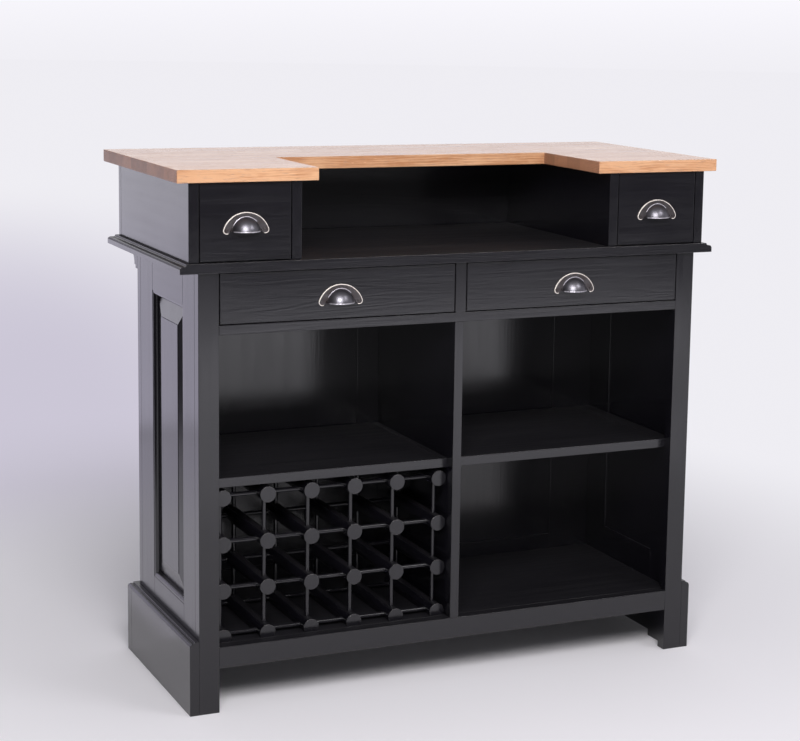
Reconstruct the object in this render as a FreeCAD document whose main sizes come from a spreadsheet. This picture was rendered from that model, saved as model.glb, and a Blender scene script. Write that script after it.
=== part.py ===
import FreeCAD, Part
import math
import os
import Sketcher

# A free-standing bar counter: an oak worktop with a U-shaped cut-out on a painted upper box with
# two small drawers and an open well, over a painted lower case with two wide drawers, two bays
# with shelves, a rod rack for bottles, framed sides and a plinth.
#
# Millimetres. The origin is on the floor, under the middle of the counter. X runs along the
# counter, the barkeeper's side faces -Y, the guests' side faces +Y, and +Z is up.

SIZES = (
    ("counter_height", 1070, "floor to the top of the worktop"),
    ("edge_round", 0.8, "rounding of every painted board's edges"),
    ("fit_clearance", 0.1, "round pegs and screws in their holes, all round"),
    ("worktop_length", 1180, "oak worktop, along X"),
    ("worktop_depth", 525, "oak worktop, front to back"),
    ("worktop_thick", 25, "oak worktop"),
    ("worktop_overhang", 9, "worktop past the case's front"),
    ("worktop_end_overhang", 25, "worktop past the upper box's ends"),
    ("worktop_rear_overhang", 26, "worktop past the upper box on the guests' side"),
    ("worktop_round", 1.5, "rounding of the worktop's edges"),
    ("cutout_width", 614, "opening of the U"),
    ("strip_depth", 280, "worktop left behind the cut-out"),
    ("upper_end_inset", 20, "upper box in from the middle top's ends"),
    ("upper_rear_inset", 18, "upper box in from the middle top's edge on the guests' side"),
    ("upper_height", 153, "upper box"),
    ("upper_side_thick", 20, "upper box's side boards"),
    ("upper_back_thick", 18, "upper box's board on the guests' side"),
    ("well_width", 677, "between the two partitions"),
    ("partition_thick", 20, "partitions beside the well"),
    ("middle_thick", 19, "middle top"),
    ("middle_overhang", 9, "middle top past the case's front"),
    ("middle_flat", 8, "upright lower part of the middle top's moulded edge"),
    ("middle_bead", 6.5, "radius of the moulded edge's round"),
    ("middle_step", 2, "level step between the round and the hollow"),
    ("case_end_inset", 38.5, "lower case in from the middle top's ends"),
    ("case_rear_inset", 90, "lower case in from the middle top's edge on the guests' side"),
    ("face_thick", 25, "face frame"),
    ("stile_width", 41, "face frame's stiles"),
    ("lower_drawer_height", 102, "openings of the wide drawers"),
    ("drawer_rail_height", 19, "rail and deck under the wide drawers"),
    ("drawer_divider_thick", 23.5, "board between the wide drawers"),
    ("bottom_rail_height", 43, "face frame's bottom rail"),
    ("bay_floor_height", 133, "floor to the top of the bottom board"),
    ("bottom_board_thick", 19, "bottom board"),
    ("divider_thick", 19, "upright board between the bays"),
    ("shelf_height", 466, "floor to the top of the shelves"),
    ("shelf_thick", 19, "shelves"),
    ("batten_width", 11.5, "batten at the right end of each shelf"),
    ("frame_thick", 22, "framed sides and guests' side"),
    ("side_front_leg_width", 75, "front legs of the sides"),
    ("side_rear_leg_width", 88, "rear legs of the sides"),
    ("top_rail_height", 74, "top rails of the framed sides and guests' side"),
    ("side_bottom_rail_height", 83, "bottom rails of the sides"),
    ("back_stile_width", 120, "corner stiles of the guests' side"),
    ("back_centre_width", 120, "centre stile of the guests' side"),
    ("back_bottom_rail_height", 53, "bottom rail of the guests' side"),
    ("groove_depth", 10, "panel grooves in the frames"),
    ("panel_play", 1.5, "panel's edge to the bottom of its groove"),
    ("tenon_play", 0.3, "stub tenon's end to the bottom of its groove"),
    ("tongue_thick", 7, "panel tongues and stub tenons"),
    ("tongue_inset", 11, "tongue's face behind the frame's face"),
    ("field_inset", 3.5, "raised field behind the frame's face"),
    ("field_step", 1, "step round the raised field"),
    ("field_shoulder", 1.5, "ledge outside that step"),
    ("bevel_width", 36.5, "sloping margin of a raised panel"),
    ("moulding_width", 10, "moulding round a panel"),
    ("moulding_inset", 0.8, "moulding behind the frame's face"),
    ("moulding_round", 7.5, "radius of that moulding"),
    ("plinth_height", 150, "plinth boards"),
    ("plinth_thick", 19, "side plinth boards"),
    ("plinth_back_thick", 28, "plinth board on the guests' side"),
    ("plinth_step", 3.5, "drop from the plinth's top to its round"),
    ("plinth_ledge", 1.5, "ledge at the foot of that drop"),
    ("plinth_round", 8, "radius of the plinth's top edge"),
    ("cove_height", 45, "moulding under the middle top"),
    ("cove_reach", 52, "that moulding out from the case"),
    ("cove_foot", 14, "its lower edge out from the case"),
    ("cove_foot_height", 7, "its lower edge"),
    ("cove_lip_height", 8, "its upper edge"),
    ("guide_height", 40, "guides beside the wide drawers"),
    ("cleat_section", 20, "cleats under the worktop"),
    ("cleat_setback", 40, "cleats behind the drawer openings' front"),
    ("cleat_rear_gap", 32, "cleats to the upper box's board on the guests' side"),
    ("front_thick", 20, "drawer fronts"),
    ("front_gap", 2, "gap round a drawer front"),
    ("box_side_thick", 12, "drawer sides and backs"),
    ("box_bottom_thick", 6, "drawer bottoms"),
    ("box_groove", 5, "depth of the grooves for the drawer bottoms"),
    ("box_bottom_raise", 10, "drawer bottom above the sides' lower edge"),
    ("box_lift", 0.3, "drawer above what it slides on"),
    ("box_rear_gap", 0.5, "drawer's back to the case's back"),
    ("lower_box_height", 80, "wide drawers' sides"),
    ("upper_box_height", 100, "small drawers' sides"),
    ("pull_radius", 48.7, "cup pull's arched rim"),
    ("pull_drop", 6.7, "centre of the rim's arch below the pull's lower edge"),
    ("pull_dome_radius", 32, "cup pull's dome where it meets the rim"),
    ("pull_reach", 25, "cup pull out from the drawer front"),
    ("pull_flange_thick", 2.5, "cup pull's flat rim"),
    ("pull_flange_width", 14.6, "cup pull's flat rim"),
    ("pull_wall", 1.8, "cup pull's dome"),
    ("pull_screw_radius", 1.5, "pull screws' shank"),
    ("pull_screw_length", 16, "pull screws into the drawer front"),
    ("pull_screw_head_radius", 3.2, "pull screws' head"),
    ("pull_screw_head_height", 1.6, "pull screws' head"),
    ("pull_ear_rise", 7.8, "centres of the rim's ears and screws above the pull's lower edge"),
    ("pull_hang", 23, "pull's lower edge below the middle of its drawer"),
    ("rack_columns", 6, "rods across the rack"),
    ("rack_rows", 4, "rods up the rack"),
    ("rack_side_gap", 1.5, "outer rods to the sides of the bay"),
    ("rack_head_gap", 7, "top rods to the shelf above them"),
    ("rod_radius", 16, "rack rods"),
    ("rod_length", 240, "rack rods"),
    ("rod_setback", 28, "rod ends behind the case's front"),
    ("rod_foot", 9, "axis of the lowest rods above their flat"),
    ("spindle_radius", 4.5, "thin dowels between the rods"),
    ("spindle_socket", 8, "thin dowels into the rods"),
    ("spindle_setback", 26, "thin dowels behind the rod ends"),
    ("peg_radius", 4, "beech dowels in the joints"),
    ("peg_depth", 14, "beech dowels into each board"),
    ("peg_depth_thin", 12, "beech dowels into the middle top and the upper back board"),
    ("peg_depth_divider", 5, "shelf dowels into the upright divider"),
    ("peg_inset", 60, "beech dowels from the ends of a joint"),
    ("screw_radius", 2.2, "worktop screws"),
    ("screw_bite", 15, "worktop screws into the worktop"),
    ("screw_head_radius", 4.5, "worktop screws' head"),
    ("screw_head_height", 3, "worktop screws' head"),
)


class Size:
    """A length: its value now, and the formula on the sheet that it follows."""

    def __init__(self, value, formula):
        self.value = value
        self.formula = formula

    def __add__(self, other):
        return combined(self, "+", other, self.value + number(other))

    def __sub__(self, other):
        return combined(self, "-", other, self.value - number(other))

    def __mul__(self, other):
        return combined(self, "*", other, self.value * number(other))

    def __truediv__(self, other):
        return combined(self, "/", other, self.value / number(other))

    def __neg__(self):
        return Size(-self.value, f"(0 - {self.formula})")


def number(item):
    return item.value if isinstance(item, Size) else item


def formula(item):
    return item.formula if isinstance(item, Size) else repr(item)


def combined(left, sign, right, value):
    return Size(value, f"({formula(left)} {sign} {formula(right)})")


def root(size):
    return Size(math.sqrt(size.value), f"sqrt({size.formula})")


# ---- the document and its sheet of sizes ----

doc = FreeCAD.newDocument("BarCounter")
sheet = doc.addObject("Spreadsheet::Sheet", "Dimensions")
for row, (alias, amount, meaning) in enumerate(SIZES, start=1):
    sheet.set(f"A{row}", alias)
    sheet.set(f"B{row}", str(amount))
    sheet.setAlias(f"B{row}", alias)
    sheet.set(f"C{row}", meaning)
doc.recompute()


class Dimensions:
    """The sheet's sizes by name."""

    def __getattr__(self, name):
        return Size(float(sheet.get(name)), "Dimensions." + name)


d = Dimensions()
ZERO = Size(0.0, "0")
LEFT = -1
RIGHT = 1


# ---- spans: (low, high) along one axis ----

def length(span):
    return span[1] - span[0]


def middle(span):
    return (span[0] + span[1]) / 2


def centred(width, centre=ZERO):
    return (centre - width / 2, centre + width / 2)


def across(side, near, far):
    """The span from near to far off the middle of the counter, on its left or right side."""
    return (near, far) if side == RIGHT else (-far, -near)


def trimmed(span, margin):
    return (span[0] + margin, span[1] - margin)


# ---- building blocks ----

def place(feature, x, y, z):
    for axis, size in zip("xyz", (x, y, z)):
        feature.setExpression(f"Placement.Base.{axis}", size.formula)


def block(name, x, y, z):
    """A plain box that fills three spans."""
    box = doc.addObject("Part::Box", name)
    for edge, span in zip(("Length", "Width", "Height"), (x, y, z)):
        box.setExpression(edge, length(span).formula)
    place(box, x[0], y[0], z[0])
    return box


TURNS = {
    "x": FreeCAD.Rotation(FreeCAD.Vector(0, 1, 0), 90),
    "y": FreeCAD.Rotation(FreeCAD.Vector(1, 0, 0), -90),
    "z": FreeCAD.Rotation(),
}


def cylinder(name, axis, start, radius, run):
    """A cylinder that runs from its start point towards +axis."""
    rod = doc.addObject("Part::Cylinder", name)
    rod.Placement.Rotation = TURNS[axis]
    rod.setExpression("Radius", radius.formula)
    rod.setExpression("Height", run.formula)
    place(rod, *start)
    return rod


def group(name, pieces):
    compound = doc.addObject("Part::Compound", name)
    compound.Links = pieces
    return compound


def fused(name, pieces):
    fusion = doc.addObject("Part::MultiFuse", name)
    fusion.Shapes = pieces
    return fusion


def cut(name, base, tools):
    feature = doc.addObject("Part::Cut", name)
    feature.Base = base
    feature.Tool = tools[0] if len(tools) == 1 else group(name + "_tools", tools)
    return feature


def common(name, first, second):
    """What two solids share."""
    feature = doc.addObject("Part::Common", name)
    feature.Base = first
    feature.Tool = second
    return feature


def new_body(name):
    return doc.addObject("PartDesign::Body", name)


def new_sketch(body, name, role, offset=ZERO):
    """A sketch on one of the body's origin planes, moved along that plane's normal."""
    plane = next(item for item in body.Origin.OriginFeatures if item.Role == role)
    sketch = body.newObject("Sketcher::SketchObject", name)
    sketch.AttachmentSupport = [(plane, "")]
    sketch.MapMode = "FlatFace"
    sketch.setExpression("AttachmentOffset.Base.z", offset.formula)
    return sketch


class Arc:
    """The arc that leaves a corner of an outline, round a centre."""

    def __init__(self, centre_x, centre_y, clockwise=False):
        self.centre = (centre_x, centre_y)
        self.clockwise = clockwise

    def curve(self, start, end):
        centre = FreeCAD.Vector(self.centre[0].value, self.centre[1].value, 0)
        first, last = (end, start) if self.clockwise else (start, end)
        angles = [math.atan2(point.y - centre.y, point.x - centre.x) for point in (first, last)]
        circle = Part.Circle(centre, FreeCAD.Vector(0, 0, 1), first.distanceToPoint(centre))
        return Part.ArcOfCircle(circle, angles[0], angles[1])


def draw(sketch, outline):
    """Draws a closed outline: (x, y) corners, each with the Arc that leaves it or None."""
    points = [FreeCAD.Vector(x.value, y.value, 0) for x, y, arc in outline]
    starts, ends = [], []
    for index, (x, y, arc) in enumerate(outline):
        start, end = points[index], points[(index + 1) % len(points)]
        curve = arc.curve(start, end) if arc else Part.LineSegment(start, end)
        sketch.addGeometry(curve, False)
        backwards = arc is not None and arc.clockwise
        starts.append((index, 2 if backwards else 1))
        ends.append((index, 1 if backwards else 2))
    for index, (x, y, arc) in enumerate(outline):
        sketch.addConstraint(Sketcher.Constraint("Coincident", *ends[index - 1], *starts[index]))
        fix(sketch, "DistanceX", starts[index], x)
        fix(sketch, "DistanceY", starts[index], y)
        if arc:
            fix(sketch, "DistanceX", (index, 3), arc.centre[0])


def fix(sketch, kind, point, size):
    """Holds a point at a distance from the sketch's origin."""
    index = sketch.addConstraint(Sketcher.Constraint(kind, -1, 1, *point, size.value))
    sketch.setExpression(f"Constraints[{index}]", size.formula)


def corners(*points):
    return [(x, y, None) for x, y in points]


def rectangle(x, y):
    return corners((x[0], y[0]), (x[1], y[0]), (x[1], y[1]), (x[0], y[1]))


def pad(body, name, sketch, run, reverse=False):
    feature = body.newObject("PartDesign::Pad", name)
    feature.Profile = sketch
    feature.Reversed = reverse
    feature.setExpression("Length", run.formula)
    return feature


def soften(body, name, base, radius, edges=()):
    """Rounds the named edges, or every edge when none is named."""
    feature = body.newObject("PartDesign::Fillet", name)
    feature.Base = (base, list(edges) or ["Edge1"])
    feature.UseAllEdges = not edges
    feature.setExpression("Radius", radius.formula)
    return feature


def board(name, x, y, z):
    """A painted board with its edges slightly rounded."""
    body = new_body(name + "_board")
    sketch = new_sketch(body, name + "_outline", "XY_Plane")
    draw(sketch, rectangle((ZERO, length(x)), (ZERO, length(y))))
    solid = pad(body, name + "_pad", sketch, length(z))
    soften(body, name + "_edges", solid, d.edge_round)
    place(body, x[0], y[0], z[0])
    return body


# ---- the nodes, and the pegs and screws that pass through several of them ----

blanks = {}
sockets = []
pegs = []


def keep(name, feature):
    """Takes a feature as the node of that name, before any holes for pegs and screws."""
    blanks[name] = feature


def pin(name, axis, joint, radius, before, after):
    """A round pin through a joint and the socket that it needs in the pieces it enters."""
    step = {"x": (1, 0, 0), "y": (0, 1, 0), "z": (0, 0, 1)}[axis]
    start = [place - before * share for place, share in zip(joint, step)]
    rod = cylinder(name, axis, start, radius, before + after)
    play = d.fit_clearance
    mouth = [place - play * share for place, share in zip(start, step)]
    sockets.append(cylinder(name + "_socket", axis, mouth, radius + play, before + after + play * 2))
    return rod


def peg(axis, joint, before, after):
    """A beech dowel across a joint, so deep into the piece before it and the one after it."""
    pegs.append(pin(f"peg_{len(pegs) + 1}", axis, joint, d.peg_radius, before, after))


def drilled(name, blank):
    """The blank with a hole for each pin that enters it."""
    tools = [tool for tool in sockets if enters(tool.Shape, blank.Shape)]
    if not tools:
        return blank
    blank.Label = name + "_undrilled"
    return cut(name + "_drilled", blank, tools)


def enters(tool, solid):
    return tool.BoundBox.intersect(solid.BoundBox) and tool.common(solid).Volume > 0


# ---- main levels and faces ----

front = (d.pull_reach + d.worktop_overhang - d.worktop_depth) / 2
worktop_half = d.worktop_length / 2
worktop_y = (front - d.worktop_overhang, front - d.worktop_overhang + d.worktop_depth)
upper_half = worktop_half - d.worktop_end_overhang
upper_back = worktop_y[1] - d.worktop_rear_overhang
middle_half = upper_half + d.upper_end_inset
middle_y = (front - d.middle_overhang, upper_back + d.upper_rear_inset)
case_half = middle_half - d.case_end_inset
case_back = middle_y[1] - d.case_rear_inset
face_back = front + d.face_thick
back_inner = case_back - d.frame_thick
side_inner = case_half - d.frame_thick
stile_inner = case_half - d.stile_width
upper_top = d.counter_height - d.worktop_thick
upper_floor = upper_top - d.upper_height
case_top = upper_floor - d.middle_thick
drawer_floor = case_top - d.lower_drawer_height
bay_top = drawer_floor - d.drawer_rail_height
bay_floor = d.bay_floor_height
bay_under = bay_floor - d.bottom_board_thick
bay_depth = (face_back, back_inner)
divider_half = d.divider_thick / 2
drawer_divider = (-divider_half, d.drawer_divider_thick - divider_half)
front_leg = (face_back, face_back + d.side_front_leg_width)
rear_leg = (back_inner - d.side_rear_leg_width, back_inner)


# ---- oak worktop, with its cleats and screws ----

def make_worktop():
    body = new_body("worktop")
    sketch = new_sketch(body, "worktop_outline", "XY_Plane")
    near, far = worktop_y
    inner = far - d.strip_depth
    end, notch = worktop_half, d.cutout_width / 2
    draw(sketch, corners((-end, near), (-notch, near), (-notch, inner), (notch, inner),
                         (notch, near), (end, near), (end, far), (-end, far)))
    solid = pad(body, "worktop_pad", sketch, d.worktop_thick)
    soften(body, "worktop_edges", solid, d.worktop_round)
    place(body, ZERO, ZERO, upper_top)
    keep("oak_worktop", body)


def make_cleats():
    """Cleats beside the small drawers, each with two screws up into the worktop."""
    y = (front + d.cleat_setback, upper_depth[1] - d.cleat_rear_gap)
    z = (upper_top - d.cleat_section, upper_top)
    cleats, screws = [], []
    for side in (LEFT, RIGHT):
        outer = drawer_cavity[1] - d.cleat_section
        inner = drawer_cavity[0] + d.cleat_section
        for near, far in ((drawer_cavity[0], inner), (outer, drawer_cavity[1])):
            x = across(side, near, far)
            cleats.append(block(f"cleat_{len(cleats) + 1}", x, y, z))
            for place_y in trimmed(y, d.peg_inset):
                screws.append(make_worktop_screw(f"screw_{len(screws) + 1}", middle(x), place_y))
    keep("worktop_cleats", group("cleats", cleats))
    keep("worktop_screws", group("screws", screws))


def make_worktop_screw(name, x, y):
    under = upper_top - d.cleat_section
    shank = pin(name, "z", (x, y, upper_top), d.screw_radius, d.cleat_section, d.screw_bite)
    head = cylinder(name + "_head", "z", (x, y, under - d.screw_head_height),
                    d.screw_head_radius, d.screw_head_height)
    return fused(name + "_whole", [shank, head])


# ---- upper box: side boards, partitions and the board on the guests' side ----

well_half = d.well_width / 2
upper_depth = (front, upper_back - d.upper_back_thick)
upper_levels = (upper_floor, upper_top)
drawer_cavity = (well_half + d.partition_thick, upper_half - d.upper_side_thick)


def make_upper_box():
    for side, word in ((LEFT, "left"), (RIGHT, "right")):
        spans = {
            "upper_side_" + word: across(side, drawer_cavity[1], upper_half),
            "upper_partition_" + word: across(side, well_half, drawer_cavity[0]),
        }
        for name, x in spans.items():
            keep(name, board(name, x, upper_depth, upper_levels))
            for y in trimmed(upper_depth, d.peg_inset):
                peg("z", (middle(x), y, upper_floor), d.peg_depth_thin, d.peg_depth)
            for z in trimmed(upper_levels, d.peg_inset):
                peg("y", (middle(x), upper_depth[1], z), d.peg_depth, d.peg_depth_thin)
    back = (upper_depth[1], upper_back)
    keep("upper_back_board", board("upper_back_board", (-upper_half, upper_half), back,
                                   upper_levels))


# ---- middle top: a board with a moulded edge on both ends and the guests' side ----

def moulded_end(end, height, flat, bead, step, outward):
    """Corners from the foot to the top of an edge: upright, a round, a step and a hollow."""
    hollow = height - flat - bead
    sign = 1 if outward else -1
    rise = flat + bead
    inner = end - (bead + step) * sign
    path = [
        (end, ZERO, None),
        (end, flat, Arc(end - bead * sign, flat, clockwise=not outward)),
        (end - bead * sign, rise, None),
        (inner, rise, Arc(inner, height, clockwise=outward)),
        (inner - hollow * sign, height, None),
    ]
    return path


def reversed_path(path):
    """The same corners walked the other way."""
    walked = []
    for index in range(len(path) - 1, -1, -1):
        x, y, arc = path[index]
        arriving = path[index - 1][2] if index else None
        turned = Arc(*arriving.centre, not arriving.clockwise) if arriving else None
        walked.append((x, y, turned))
    return walked


def make_middle_top():
    """What two long profiles, one along Y and one along X, have in common."""
    near, far = middle_y
    half = middle_half
    shape = (d.middle_thick, d.middle_flat, d.middle_bead, d.middle_step)

    ends = new_body("middle_top_ends")
    outline = moulded_end(half, *shape, True) + reversed_path(moulded_end(-half, *shape, False))
    sketch = new_sketch(ends, "middle_top_end_profile", "XZ_Plane")
    draw(sketch, outline)
    pad(ends, "middle_top_end_pad", sketch, far - near, reverse=True)
    place(ends, ZERO, near, case_top)

    rear = new_body("middle_top_rear")
    outline = moulded_end(far, *shape, True) + corners((near, d.middle_thick), (near, ZERO))
    sketch = new_sketch(rear, "middle_top_rear_profile", "YZ_Plane")
    draw(sketch, outline)
    pad(rear, "middle_top_rear_pad", sketch, half * 2)
    place(rear, -half, ZERO, case_top)

    keep("middle_top", common("middle_top_common", ends, rear))


# ---- face frame, divider, bottom board, deck and shelves ----

def make_face_frame():
    for side, word in ((LEFT, "left"), (RIGHT, "right")):
        x = across(side, stile_inner, case_half)
        name = "front_stile_" + word
        keep(name, board(name, x, (front, face_back), (ZERO, case_top)))
    inside = (-stile_inner, stile_inner)
    rails = {
        "drawer_rail": (bay_top, drawer_floor),
        "bottom_rail": (bay_floor - d.bottom_rail_height, bay_floor),
    }
    for name, z in rails.items():
        keep(name, board(name, inside, (front, face_back), z))
        for x in inside:
            peg("x", (x, middle((front, face_back)), middle(z)), d.peg_depth, d.peg_depth)


def make_inside():
    inner = (-side_inner, side_inner)
    levels = {
        "bottom_board": (bay_under, bay_floor),
        "drawer_deck": (bay_top, drawer_floor),
    }
    for name, z in levels.items():
        keep(name, board(name, inner, bay_depth, z))
        for x in inner:
            for leg in (front_leg, rear_leg):
                peg("x", (x, middle(leg), middle(z)), d.peg_depth, d.peg_depth)

    divider = centred(d.divider_thick)
    whole_depth = (front, back_inner)
    keep("centre_divider", board("centre_divider", divider, whole_depth, (bay_floor, bay_top)))
    for y in trimmed(whole_depth, d.peg_inset):
        for z in (bay_floor, bay_top):
            peg("z", (ZERO, y, z), d.peg_depth, d.peg_depth)

    keep("drawer_divider", board("drawer_divider", drawer_divider, whole_depth,
                                 (drawer_floor, case_top)))
    guides = [block(f"guide_{word}", across(side, stile_inner, side_inner), bay_depth,
                    (drawer_floor, drawer_floor + d.guide_height))
              for side, word in ((LEFT, "left"), (RIGHT, "right"))]
    keep("drawer_guides", group("guides", guides))


def make_shelves():
    """A shelf in each bay, with a batten between its right end and what stands there."""
    z = (d.shelf_height - d.shelf_thick, d.shelf_height)
    bays = {
        "left": (-side_inner, -divider_half - d.batten_width, -divider_half),
        "right": (divider_half, stile_inner - d.batten_width, side_inner),
    }
    battens = []
    for word, (start, joint, end) in bays.items():
        keep(word + "_shelf", board(word + "_shelf", (start, joint), bay_depth, z))
        battens.append(board(word + "_batten", (joint, end), bay_depth, z))
        for y in trimmed(bay_depth, d.peg_inset):
            if word == "left":
                peg("x", (start, y, middle(z)), d.peg_depth, d.peg_depth)
                peg("x", (joint, y, middle(z)), d.peg_depth, d.batten_width + d.peg_depth_divider)
            else:
                peg("x", (start, y, middle(z)), d.peg_depth_divider, d.peg_depth)
                peg("x", (joint, y, middle(z)), d.peg_depth, d.peg_depth)
    keep("shelf_battens", group("battens", battens))


# ---- framed sides and guests' side, with raised panels ----

def groove(name, x, y, z):
    return block(name + "_groove", x, y, z)


def tongue_span(outer, inward):
    """Where panel tongues and stub tenons lie in a frame, from its outer face inwards."""
    near = outer + d.tongue_inset * inward
    far = near + d.tongue_thick * inward
    return (near, far) if inward > 0 else (far, near)


side_opening = (front_leg[1], rear_leg[0])
side_levels = (bay_under + d.side_bottom_rail_height, case_top - d.top_rail_height)
back_levels = (bay_under + d.back_bottom_rail_height, case_top - d.top_rail_height)
back_half = case_half - d.back_stile_width
back_centre_half = d.back_centre_width / 2


def make_side(side, word):
    """Two legs, two rails with stub tenons, and the grooves for the panel and tenons."""
    x = across(side, side_inner, case_half)
    tongue = tongue_span(case_half * side, -side)
    frame_levels = (bay_under, case_top)
    tenon_y = (side_opening[0] - d.groove_depth + d.tenon_play,
               side_opening[1] + d.groove_depth - d.tenon_play)
    groove_y = (side_opening[0] - d.groove_depth, side_opening[1] + d.groove_depth)
    legs = []
    for end, y in (("front", front_leg), ("rear", rear_leg)):
        name = f"side_{end}_leg_{word}"
        leg = board(name, x, y, (ZERO, case_top))
        peg("z", (middle(x), middle(y), case_top), d.peg_depth, d.peg_depth_thin)
        legs.append(cut(name + "_grooved", leg, [groove(name, tongue, groove_y, frame_levels)]))
    rails = []
    for end, z in (("bottom", (bay_under, side_levels[0])), ("top", (side_levels[1], case_top))):
        name = f"side_{end}_rail_{word}"
        rail = cut(name + "_grooved", board(name, x, side_opening, z),
                   [groove(name, tongue, side_opening, trimmed(side_levels, -d.groove_depth))])
        tenon_z = tenon_height(end, z)
        tenons = [block(name + "_tenon_front", tongue, (tenon_y[0], side_opening[0] + d.tenon_play),
                        tenon_z),
                  block(name + "_tenon_rear", tongue, (side_opening[1] - d.tenon_play, tenon_y[1]),
                        tenon_z)]
        rails.append(fused(name + "_tenoned", [rail] + tenons))
    keep("side_legs_" + word, group("side_legs_" + word, legs))
    return rails


def tenon_height(end, rail):
    """Stub tenons stop at the panel groove's bottom, so that panel and tenon don't meet."""
    if end == "bottom":
        return (rail[0] + d.edge_round, rail[1] - d.groove_depth)
    return (rail[0] + d.groove_depth, rail[1] - d.edge_round)


def make_guests_side():
    y = (back_inner, case_back)
    tongue = tongue_span(case_back, -1)
    frame_levels = (bay_under, case_top)
    groove_x = trimmed((-back_half, back_half), -d.groove_depth)
    for side, word in ((LEFT, "left"), (RIGHT, "right")):
        name = "back_stile_" + word
        stile = board(name, across(side, back_half, case_half), y, (ZERO, case_top))
        keep(name, cut(name + "_grooved", stile, [groove(name, groove_x, tongue, frame_levels)]))

    name = "back_centre_stile"
    centre_x = centred(d.back_centre_width)
    centre = cut(name + "_grooved", board(name, centre_x, y, back_levels), [
        groove(name + "_left", across(LEFT, back_centre_half - d.groove_depth, back_centre_half),
               tongue, back_levels),
        groove(name + "_right", across(RIGHT, back_centre_half - d.groove_depth, back_centre_half),
               tongue, back_levels)])
    tenons = block(name + "_tenons", trimmed(centre_x, d.groove_depth), tongue,
                   trimmed(back_levels, d.tenon_play - d.groove_depth))
    keep(name, fused(name + "_tenoned", [centre, tenons]))

    rails = []
    for end, z in (("bottom", (bay_under, back_levels[0])), ("top", (back_levels[1], case_top))):
        name = f"back_{end}_rail"
        rail = cut(name + "_grooved", board(name, (-back_half, back_half), y, z),
                   [groove(name, (-back_half, back_half), tongue,
                           trimmed(back_levels, -d.groove_depth))])
        tenons = [block(f"{name}_tenon_{word}",
                        across(side, back_half - d.tenon_play,
                               back_half + d.groove_depth - d.tenon_play),
                        tongue, tenon_height(end, z))
                  for side, word in ((LEFT, "left"), (RIGHT, "right"))]
        rails.append(fused(name + "_tenoned", [rail] + tenons))
    keep("back_rails", group("back_rails", rails))


def facing(right, up, outward):
    """The turn that lays a panel's own X, Y and Z along these directions."""
    vectors = [FreeCAD.Vector(*item) for item in (right, up, outward)]
    return FreeCAD.Rotation(*vectors, "ZXY")


FACING_LEFT = facing((0, -1, 0), (0, 0, 1), (-1, 0, 0))
FACING_RIGHT = facing((0, 1, 0), (0, 0, 1), (1, 0, 0))
FACING_GUESTS = facing((-1, 0, 0), (0, 0, 1), (0, 1, 0))


def make_panel(name, width, height, turn, centre):
    """A raised panel in an opening: tongue, bevelled margin and field, facing its own +Z."""
    body = new_body(name)
    flat_width = width - d.moulding_width * 2
    flat_height = height - d.moulding_width * 2
    ledge_width = flat_width - d.bevel_width * 2
    ledge_height = flat_height - d.bevel_width * 2
    rim = (d.groove_depth - d.panel_play) * 2
    tongue_back = -(d.tongue_inset + d.tongue_thick)
    ledge = -(d.field_inset + d.field_step)

    tongue = new_sketch(body, name + "_tongue", "XY_Plane", tongue_back)
    draw(tongue, rectangle(centred(width + rim), centred(height + rim)))
    pad(body, name + "_tongue_pad", tongue, d.tongue_thick)

    low = new_sketch(body, name + "_bevel_foot", "XY_Plane", -d.tongue_inset)
    draw(low, rectangle(centred(flat_width), centred(flat_height)))
    high = new_sketch(body, name + "_bevel_top", "XY_Plane", ledge)
    draw(high, rectangle(centred(ledge_width), centred(ledge_height)))
    bevel = body.newObject("PartDesign::AdditiveLoft", name + "_bevel")
    bevel.Profile = low
    bevel.Sections = [high]

    field = new_sketch(body, name + "_field", "XY_Plane", ledge)
    draw(field, rectangle(centred(ledge_width - d.field_shoulder * 2),
                          centred(ledge_height - d.field_shoulder * 2)))
    pad(body, name + "_field_pad", field, d.field_step)
    body.Placement.Rotation = turn
    place(body, *centre)
    return body


def make_moulding(name, x, y, inner_edge, turn, centre):
    """One mitred strip: its inner top edge, between the two mitres, is rounded."""
    body = new_body(name)
    sketch = new_sketch(body, name + "_outline", "XY_Plane", -d.tongue_inset)
    draw(sketch, corners(*zip(x, y)))
    solid = pad(body, name + "_pad", sketch, d.tongue_inset - d.moulding_inset)
    doc.recompute()
    top = -d.moulding_inset.value
    ends = [FreeCAD.Vector(x[index].value, y[index].value, top) for index in inner_edge]
    edge = next(f"Edge{index}" for index, item in enumerate(solid.Shape.Edges, start=1)
                if all(item.distToShape(Part.Vertex(end))[0] < 1e-6 for end in ends))
    soften(body, name + "_round", solid, d.moulding_round, [edge])
    body.Placement.Rotation = turn
    place(body, *centre)
    return body


def make_mouldings(name, width, height, turn, centre):
    """Four mitred strips round the inside of an opening."""
    outer_x, outer_y = centred(width), centred(height)
    inner_x, inner_y = trimmed(outer_x, d.moulding_width), trimmed(outer_y, d.moulding_width)
    strips = []
    for end, word in ((0, "low"), (1, "high")):
        level = ((outer_x[0], outer_x[1], inner_x[1], inner_x[0]),
                 (outer_y[end], outer_y[end], inner_y[end], inner_y[end]))
        upright = ((outer_x[end], outer_x[end], inner_x[end], inner_x[end]),
                   (outer_y[0], outer_y[1], inner_y[1], inner_y[0]))
        strips.append(make_moulding(f"{name}_level_{word}", *level, (2, 3), turn, centre))
        strips.append(make_moulding(f"{name}_upright_{word}", *upright, (2, 3), turn, centre))
    return strips


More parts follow.
